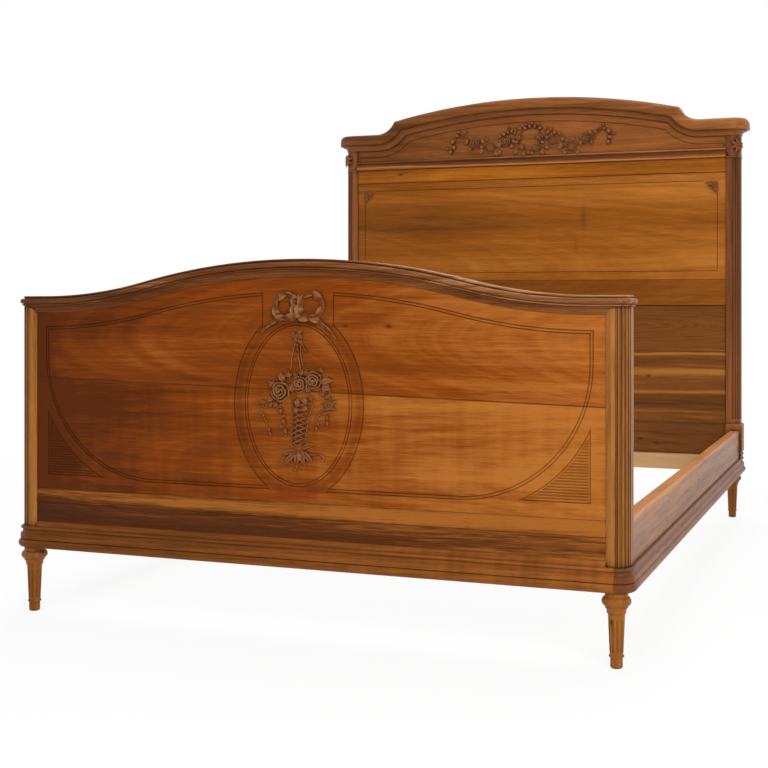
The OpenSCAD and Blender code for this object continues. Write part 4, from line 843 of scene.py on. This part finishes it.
class BEDSTEAD_OT_bow(bpy.types.Operator):
    """Carve the ribbon bow over the oval"""
    bl_idname = "bedstead.bow"
    bl_label = "Bow"

    def execute(self, context):
        r = Relief("bow")
        crinkled(r, BOW_LEFT, 10.0, 8)
        crinkled(r, BOW_RIGHT, 10.0, 8)
        crinkled(r, BOW_TAIL_RIGHT, 9.0, 4, widths=thinning)
        crinkled(r, BOW_TAIL_LEFT, 8.0, 4, widths=thinning)
        for u, v, size, turn in ((2, 207, 9, 0), (-4, 230, 6, 90), (5, 250, 7, 70), (-6, 252, 7, 110)):
            r.blade(ray(turn, (-size, 5), (0, 7.5), (size, 5), start=(u, v)), 5.5)
        r.strand([(-3, 207, 5), (7, 207, 5)], 5.5, 5, arched(0.8))
        settle(r.merge(), "foot_ribbon_carving", (0, FOOT_FACE, OVAL_MIDDLE), deep=0.9, lift=0.85, tops=0.4)
        return {"FINISHED"}


def basket(r):
    """Funnel of crossed strands under the roses."""

    def edges(v):
        """Left and right edge at a height."""
        t = max(0.0, (10 - v) / 108)
        return -13 - 2 * t, 44 - 25 * t ** 0.55

    def at(share, v):
        """Point on the bulge of the funnel, at a share of its width from the left."""
        left, right = edges(v)
        return (left + (right - left) * share, v, 1.6 + 5.4 * math.sin(math.pi * share))

    for i in range(10):
        top = 8 - 12 * i
        for flip, sink in ((0, 2.2), (1, 1.6)):
            path = [(abs(flip - s), top - 17 * s) for s in (0, 0.25, 0.5, 0.75, 1)]
            path = [at(share, v) for share, v in path if v > -100]
            if len(path) > 2:
                r.strand([(u, v, h - sink) for u, v, h in path], 2.2, 10)
    for share in (0, 1):
        rim = [(*at(share, v)[:2], 1.6) for v in (12, -30, -60, -98)]
        r.strand(rim, 2.0, 44, lambda t: 0.8 + 0.25 * math.sin(60 * t))


class BEDSTEAD_OT_bouquet(bpy.types.Operator):
    """Carve the basket of roses that hangs in the oval"""
    bl_idname = "bedstead.bouquet"
    bl_label = "Bouquet"

    def execute(self, context):
        r = Relief("bouquet")
        m = Motifs()
        basket(r)
        r.scatter(m.rose, ((-41, 29, 23, 20), (8, 47, 19, 80), (44, 58, 20, 140)))
        r.scatter(m.dahlia, ((-14, 38, 14, 10), (27, 36, 12, 40)))
        r.scatter(m.leaf, (
            (-34, 52, 26, 112), (-56, 42, 22, 148), (-20, 60, 20, 96), (62, 52, 30, 12), (62, 42, 26, -14),
            (24, 66, 18, 88), (-60, 16, 22, 205), (-86, 6, 15, 195), (56, 74, 16, 60), (-6, 22, 16, 250),
            (30, 22, 18, 300), (60, 34, 18, -50), (-2, 62, 16, 110), (-52, 6, 18, 236), (74, 54, 16, 44),
            (10, 66, 18, 76)))
        r.scatter(m.leaf, ((2, 14, 20, 262), (18, 18, 20, 285), (-4, -6, 16, 275), (24, -2, 16, 250)), h=2.5)
        self.ribbon(r)
        self.drops(r, m)
        self.foot_leaves(r, m)
        made = r.merge()
        m.clear()
        settle(made, "foot_bouquet_carving", (0, FOOT_FACE, OVAL_MIDDLE), deep=1.0, lift=0.85)
        return {"FINISHED"}

    @staticmethod
    def ribbon(r):
        """Knot that the basket hangs from, its two tails and two strings."""
        for u, v, turn, length in (
                (7, 168, 40, 15), (-10, 164, 160, 13), (9, 158, -40, 12), (-6, 156, 230, 11)):
            loop = [(0, 160, 3), *ray(turn, (0, 5), (length * 0.5, 2), start=(u, v))]
            r.blade(loop, 5.0)
        r.strand([(-1, 163, 4), (1, 157, 4)], 4.0, 5)
        crinkled(r, [(1, 156), (2, 146), (-1, 134), (3, 122), (1, 108)], 4.4, 4, rise=-1.5)
        crinkled(r, [(6, 154), (12, 143), (16, 132), (24, 121)], 4.0, 3, rise=-1.5)
        r.strand([(-3, 152, 2), (-9, 130, 2), (-14, 108, 2), (-17, 80, 2)], 1.5, 12)
        r.strand([(3, 112, 2), (6, 96, 2), (10, 74, 2)], 1.5, 10)
        r.strand([(10, 150, 2), (8, 120, 2), (14, 90, 2)], 1.2, 10)

    @staticmethod
    def drops(r, m):
        """Sprays that hang down at both sides of the basket."""
        r.strand([(-44, 12, 2), (-44, -16, 2), (-38, -40, 2), (-31, -68, 1.5)], 1.3, 14)
        r.strand([(-62, 16, 2), (-84, 4, 2), (-92, -18, 1.5), (-82, -44, 1.5), (-71, -68, 1.5)], 1.2, 16)
        r.scatter(m.bud, (
            (-42, -16, 8, -90), (-35, -40, 7.5, -80), (-31, -62, 7.5, -70), (-71, -70, 5.5, -60),
            (-68, -2, 8, 250), (-92, 6, 5, 200), (-88, -28, 5, 270)))
        r.scatter(m.leaf, (
            (-46, -4, 12, 215), (-40, -26, 11, -30), (-38, -50, 11, 210), (-90, -8, 12, 250),
            (-84, -38, 11, 300), (-72, -56, 10, 240), (-33, -70, 9, -60), (-98, 2, 10, 190)))
        r.strand([(66, 40, 2), (80, 24, 2), (84, 4, 2), (76, -14, 2), (76, -40, 1.5)], 1.4, 16)
        r.strand([(72, -6, 2), (56, -22, 2), (49, -34, 2), (49, -58, 1.5)], 1.4, 12)
        r.add(m.bloom, 82, 0, 15, 10)
        r.scatter(m.bud, (
            (76, 19, 7, 100), (94, 8, 7, 30), (91, -8, 7, -20), (70, -10, 6.5, 200), (76, -28, 7.5, -90),
            (77, -41, 7, -90), (49, -54, 5, -90), (64, -14, 5, 200)))
        r.scatter(m.leaf, (
            (80, 28, 12, 60), (88, 16, 11, 70), (70, 4, 11, 170), (60, -18, 12, 220), (50, -40, 10, 300),
            (84, -18, 11, -50), (52, -30, 10, 190)))

    @staticmethod
    def foot_leaves(r, m):
        """Leaves that the basket stands in, with the scroll at their right and a bud below."""
        for u, v, length, turn, width in (
                (-4, -108, 40, 196, 6.5), (-2, -112, 44, 224, 7), (3, -112, 30, 262, 8),
                (10, -112, 32, 286, 7), (14, -110, 34, 318, 7), (12, -104, 34, 22, 6),
                (8, -106, 26, 300, 6), (-6, -110, 28, 244, 6)):
            stalk, (mid_u, mid_v, mid_h), tip = ray(
                turn, (0, 3.0), (0.55 * length, 5.2), (length, 2.0), start=(u, v))
            r.blade([stalk, (mid_u, mid_v + 2, mid_h), tip], width, 11)
        scroll = [(16, -112, 2), (38, -116, 3), (56, -114, 3), (68, -120, 3), (64, -128, 3), (56, -124, 3)]
        r.strand(scroll, 2.6, 20, thinning)
        r.strand([(2, -108, 4), (6, -120, 6), (8, -130, 4)], 5.5, widths=drop)
        r.strand([(4, -134, 2), (-2, -146, 2), (-5, -154, 2)], 1.5, 8)
        r.add(m.bud, -5, -153, 6, 250)


# Garland on the frieze, in millimetres from its middle: place, size and turn of each motif
GARLAND_ROSES = (
    (-233, -7, 19, 10), (-107, -4, 18, 60), (207, -6, 17, 30), (-55, 10, 13, 0), (27, 9, 15, 80),
    (-43, -27, 12, 40), (16, -32, 15, 0))
GARLAND_DAHLIAS = (
    (-170, -24, 24, 0), (78, -8, 22, 20), (153, -35, 23, 10), (-287, 22, 11, 0), (239, -3, 12, 0),
    (261, 25, 12, 30))
GARLAND_BUDS = (
    (-324, 2, 11, 100), (-318, -18, 11, 250), (-331, -35, 10, 260), (-303, 26, 10, 150), (-113, 23, 10, 150),
    (-82, 34, 10, 60), (-97, 30, 8, 110), (63, 27, 10, 60), (88, 22, 10, 30), (74, 34, 8, 80),
    (298, 18, 11, 20), (301, -4, 11, -40), (296, -21, 11, -100), (280, 28, 8, 70), (-28, 44, 10, 150),
    (-10, 50, 10, 100), (10, 49, 10, 70), (30, 42, 10, 20), (-62, -8, 10, 200), (40, -12, 10, 330))
GARLAND_LEAVES = (
    (-340, -20, 16, 200), (-312, 10, 19, 190), (-296, 34, 19, 110), (-276, 30, 20, 60), (-270, 14, 20, 300),
    (-258, 2, 22, 200), (-214, -18, 23, 330), (-200, -10, 24, 80), (-196, -34, 27, 200),
    (-150, -40, 24, 300), (-144, -22, 27, 20), (-130, -16, 22, 70), (-128, -36, 22, 250),
    (-92, -18, 23, 330), (-84, -6, 22, 10), (-74, 20, 19, 60), (-120, 14, 19, 160), (-90, 42, 15, 120),
    (-66, 32, 18, 100), (-44, 38, 20, 130), (-20, 52, 18, 130), (0, 54, 18, 90), (20, 50, 18, 50),
    (44, 32, 20, 40), (50, 22, 18, 10), (-60, -38, 24, 230), (-36, -46, 22, 270), (-20, -44, 19, 300),
    (0, -44, 20, 260), (34, -42, 24, 300), (48, -30, 22, 340), (50, 2, 19, 20), (100, 12, 20, 40),
    (104, -18, 24, 320), (118, -30, 24, 200), (122, -14, 22, 100), (134, -50, 22, 220),
    (172, -50, 22, 310), (180, -24, 24, 20), (186, -8, 20, 60), (222, 8, 22, 60), (226, -14, 19, 300),
    (246, 10, 20, 80), (272, 36, 18, 60), (286, 20, 19, 20), (310, 8, 16, 0), (-248, -18, 20, 250),
    (-182, 0, 19, 110), (160, -14, 20, 80), (140, -18, 19, 120))
GARLAND_STEMS = (
    ((-328, -38), (-318, -8), (-312, 14), (-290, 26), (-262, 8), (-233, -12), (-200, -24), (-170, -26)),
    ((-170, -26), (-140, -24), (-107, -10), (-80, 0), (-58, 6)),
    ((-50, -20), (-56, 8), (-40, 34), (-12, 46), (16, 44), (34, 20), (34, 0), (22, -30)),
    ((-44, -30), (-14, -44), (16, -38)),
    ((30, 6), (60, 0), (84, -10), (118, -28), (153, -36)),
    ((153, -36), (184, -20), (212, -6), (236, 4), (262, 26), (290, 24), (302, 4), (298, -24)),
)


class BEDSTEAD_OT_garland(bpy.types.Operator):
    """Carve the garland of flowers on the frieze"""
    bl_idname = "bedstead.garland"
    bl_label = "Garland"

    def execute(self, context):
        r = Relief("garland")
        m = Motifs()
        for stem in GARLAND_STEMS:
            r.strand([(u, v, 1.5) for u, v in stem], 2.2, 6 * len(stem))
        r.scatter(m.rose, GARLAND_ROSES, depth=1.6)
        r.scatter(m.dahlia, GARLAND_DAHLIAS, depth=0.55)
        r.scatter(m.bud, GARLAND_BUDS, depth=1.4)
        r.scatter(m.leaf, GARLAND_LEAVES, depth=1.3)
        for u, v, size, _ in GARLAND_ROSES[:3]:
            for turn in (25, 100, 175, 250, 325):
                (place,) = ray(turn, (size * 0.7, 0), start=(u, v))
                r.add(m.leaf, place[0], place[1], size * 0.8, turn)
        made = r.merge()
        m.clear()
        settle(made, "head_garland_carving", (0, HEAD_FACE, GARLAND_MIDDLE),
               deep=0.95, lift=0.8, reach=0.011, tops=0.5)
        return {"FINISHED"}


class BEDSTEAD_OT_corner_sprays(bpy.types.Operator):
    """Carve the sprays in the upper corners of the headboard's panel"""
    bl_idname = "bedstead.corner_sprays"
    bl_label = "Corner sprays"

    def execute(self, context):
        for side, name in ((-1, "left"), (1, "right")):
            r = Relief("spray")
            m = Motifs()
            for turn, length in ((-3, 54), (-24, 45), (-45, 41), (-66, 45), (-87, 54)):
                leaf = ray(turn, (0, 2.0), (0.5 * length, 4.5), (0.95 * length, 3.0), start=(2, -2))
                r.blade(leaf, 3.6, 12)
            r.add(m.rose, 11, -11, 10, 20)
            r.scatter(m.bud, ((27, -9, 7.5, -10), (9, -28, 7.5, -80), (23, -23, 6.5, -45)), h=1.5)
            made = r.merge()
            m.clear()
            made.scale[0] = -side
            select_only(made)
            bpy.ops.object.transform_apply(location=True, rotation=True, scale=True)
            low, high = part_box("head_corner_carving_" + name)
            outer = low[0] if side < 0 else high[0]
            settle(made, "head_corner_carving_" + name, (outer, HEAD_FACE, high[2] - SPRAY_DROP),
                   deep=1.0, lift=0.9)
        return {"FINISHED"}


class BEDSTEAD_OT_capitals(bpy.types.Operator):
    """Carve the leaves round the capitals of the head posts"""
    bl_idname = "bedstead.capitals"
    bl_label = "Capitals"

    def execute(self, context):
        middle = (CAPITAL_HIGH - CAPITAL_LOW) / MM / 2
        # Radii from the axis of the rounded corner, in millimetres
        core, round_post, button = 30, 33, 37
        for side, name in ((-1, "left"), (1, "right")):
            r = Relief("capital")
            for turn in range(0, 360, 45):
                a = math.radians(turn + 22.5)
                path = []
                for t, rise in ((2, 6), (10, 8.5), (20, 7.5), (middle, 3)):
                    bend = t * math.cos(a) / round_post
                    out = core + rise
                    path.append((out * math.sin(bend), middle + t * math.sin(a), out * math.cos(bend)))
                r.blade(path, 5.2, 14)
            r.strand([(0, middle - 2, button), (0, middle + 2, button)], 4.5, 5)
            made = r.merge()
            set_upright(made, (side * CORNER_AXIS[0], CORNER_AXIS[1], CAPITAL_LOW), side * 45)
            finish_carving(made, "head_capital_carving_" + name, deep=0.75, lift=1.2)
        return {"FINISHED"}


class BEDSTEAD_OT_mouldings(bpy.types.Operator):
    """Make smooth copies of the serpentine mouldings"""
    bl_idname = "bedstead.mouldings"
    bl_label = "Mouldings"

    def execute(self, context):
        for node, slot in SMOOTHED.items():
            select_only(NODES[node])
            bpy.ops.object.duplicate(linked=False)
            piece = context.active_object
            piece.name = node + "_smooth"
            # The copy still carries the marks of a node of the frame
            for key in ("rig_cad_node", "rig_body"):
                if key in piece:
                    del piece[key]
            bpy.ops.object.parent_clear(type="CLEAR_KEEP_TRANSFORM")
            bpy.ops.object.mode_set(mode="EDIT")
            bpy.ops.mesh.select_all(action="SELECT")
            bpy.ops.mesh.remove_doubles(threshold=0.00001)
            bpy.ops.object.mode_set(mode="OBJECT")
            bpy.ops.object.transform_apply(location=True, rotation=True, scale=True)
            bpy.ops.object.shade_smooth_by_angle(angle=MOULDING_CREASE)
            wear_finish(piece, board_finish(node))
            stand_in(piece, node)
        return {"FINISHED"}


class BEDSTEAD_OT_finish_frame(bpy.types.Operator):
    """Give every board, post and fitting of the frame its wood or metal"""
    bl_idname = "bedstead.finish_frame"
    bl_label = "Finish the frame"

    def execute(self, context):
        colours = context.scene.bedstead_colours
        for node in BOARDS:
            if node not in SMOOTHED:
                wear_finish(NODES[node], board_finish(node))
        for slot, nodes in FITTINGS.items():
            material = metal("forged_" + slot, tuple(getattr(colours, slot)), 0.5)
            for node in nodes:
                wear_finish(NODES[node], material)
        return {"FINISHED"}


# Name, place, aim, width, power and colour of each lamp
LAMPS = (
    ("key_lamp", (2.9, -3.9, 2.3), (0.3, -0.6, 0.55), 2.0, 120, (1.0, 0.985, 0.96)),
    ("top_lamp", (0.2, 0.4, 5.0), (0, 0, 0.6), 4.0, 130, (1, 1, 1)),
    ("left_lamp", (-4.5, -2.5, 2.2), (0, 0, 0.8), 2.5, 30, (0.96, 0.98, 1.0)),
    ("rear_lamp", (-1.5, 5.0, 3.0), (0, 0.5, 0.8), 3.0, 90, (1, 1, 1)),
)
# The photo's camera: its place, its turn in degrees, its lens in mm and the shift of its picture
CAMERA_PLACE = (1.3147, FOOT_FRONT - 2.6515, 0.7829)
CAMERA_TURN = 19.87
CAMERA_LENS, CAMERA_SENSOR = 59.19, 36
CAMERA_SHIFT = (-0.0733, -0.1061)
# Width of the floor, the radii between which its shadow fades out, and how white it is near the bed
FLOOR_WIDTH = 90
SHADOW_FADE = (1.6, 4.5)
NEAR_WHITE = 0.87
# Light of the room on the bed, and how much darker the room's front is in the polish
ROOM_LIGHT = 0.45
ROOM_DARK = 0.9


def lamp(name, place, aim, size, watts, colour):
    """A round soft lamp turned to its aim."""
    bpy.ops.object.light_add(type="AREA", location=place)
    light = bpy.context.active_object
    light.name = name
    light.data.name = name
    light.data.shape = "DISK"
    light.data.size = size
    light.data.energy = watts
    light.data.color = colour
    light.rotation_euler = (Vector(aim) - Vector(place)).to_track_quat("-Z", "Y").to_euler()


class BEDSTEAD_OT_stage(bpy.types.Operator):
    """Set up the floor, the soft lamps, the pale surroundings and the camera"""
    bl_idname = "bedstead.stage"
    bl_label = "Stage"

    def execute(self, context):
        scene = context.scene
        self.floor()
        self.surroundings(scene)
        for each in LAMPS:
            lamp(*each)
        self.camera(scene)
        scene.view_settings.view_transform = "Standard"
        return {"FINISHED"}

    @staticmethod
    def floor():
        """Pale floor that shows white to the camera, but for a faint shadow near the bed."""
        bpy.ops.object.select_all(action="DESELECT")
        bpy.ops.mesh.primitive_plane_add(size=FLOOR_WIDTH, location=(0, 0, 0))
        floor = bpy.context.active_object
        floor.name = "floor"
        f = Finish("pale_floor", Base_Color=(0.9, 0.9, 0.9, 1), Roughness=0.9)
        x, y, z = f.place()
        far = ((x * x + y * y) ** 0.5).step(*SHADOW_FADE)
        white = f.seen_by("Camera", "Glossy", "Transmission") * (far * (1 - NEAR_WHITE) + NEAR_WHITE)
        f.show(f.node("MixShader", inputs={0: white, 1: f.lit, 2: f.node("Emission")}))
        wear_finish(floor, f.material)

    @staticmethod
    def surroundings(scene):
        """White to the camera, and white at the sides to the polish, with a darker room in front."""
        scene.world = bpy.data.worlds.new("studio")
        sky = Nodes(scene.world, "World")
        facing = sky.node("SeparateXYZ", inputs={0: sky.node("TexCoord", out="Generated")}, out=1)
        room = 1.0 - (facing * -1.0).step(0.1, 0.8) * ROOM_DARK
        camera = sky.seen_by("Camera")
        polish = sky.seen_by("Glossy", "Transmission")
        strength = camera.most(polish * room) + (1.0 - camera.most(polish)) * ROOM_LIGHT
        sky.show(sky.node("Background", inputs={"Color": (1, 1, 1, 1), "Strength": strength}))

    @staticmethod
    def camera(scene):
        """The photo's camera, level and turned towards the bed's left."""
        turn = (math.radians(90), 0, math.radians(CAMERA_TURN))
        bpy.ops.object.camera_add(location=CAMERA_PLACE, rotation=turn)
        camera = bpy.context.active_object
        camera.name = "photo_camera"
        camera.data.sensor_width = CAMERA_SENSOR
        camera.data.lens = CAMERA_LENS
        camera.data.shift_x, camera.data.shift_y = CAMERA_SHIFT
        camera.data.clip_end = 200
        scene.camera = camera


class BEDSTEAD_PT_panel(bpy.types.Panel):
    """Sizes, colours and the steps that make the bedstead"""
    bl_idname = "BEDSTEAD_PT_panel"
    bl_label = "Carved bedstead"
    bl_space_type = "VIEW_3D"
    bl_region_type = "UI"
    bl_category = "Bedstead"

    def draw(self, context):
        for group in (context.scene.bedstead_sizes, context.scene.bedstead_colours):
            box = self.layout.box()
            for name in group.__annotations__:
                box.prop(group, name)
        for operator in STEPS:
            self.layout.operator(operator.bl_idname)


STEPS = (BEDSTEAD_OT_mouldings, BEDSTEAD_OT_bow, BEDSTEAD_OT_bouquet, BEDSTEAD_OT_garland,
         BEDSTEAD_OT_corner_sprays, BEDSTEAD_OT_capitals, BEDSTEAD_OT_finish_frame, BEDSTEAD_OT_stage)
CLASSES = (BedsteadColours, BedsteadSizes, *STEPS, BEDSTEAD_PT_panel)


def register():
    for cls in CLASSES:
        bpy.utils.register_class(cls)
    bpy.types.Scene.bedstead_colours = bpy.props.PointerProperty(type=BedsteadColours)
    bpy.types.Scene.bedstead_sizes = bpy.props.PointerProperty(type=BedsteadSizes)


def unregister():
    del bpy.types.Scene.bedstead_sizes
    del bpy.types.Scene.bedstead_colours
    for cls in reversed(CLASSES):
        bpy.utils.unregister_class(cls)


def main():
    register()
    for step in STEPS:
        group, name = step.bl_idname.split(".")
        getattr(getattr(bpy.ops, group), name)()


if __name__ == "__main__":
    main()
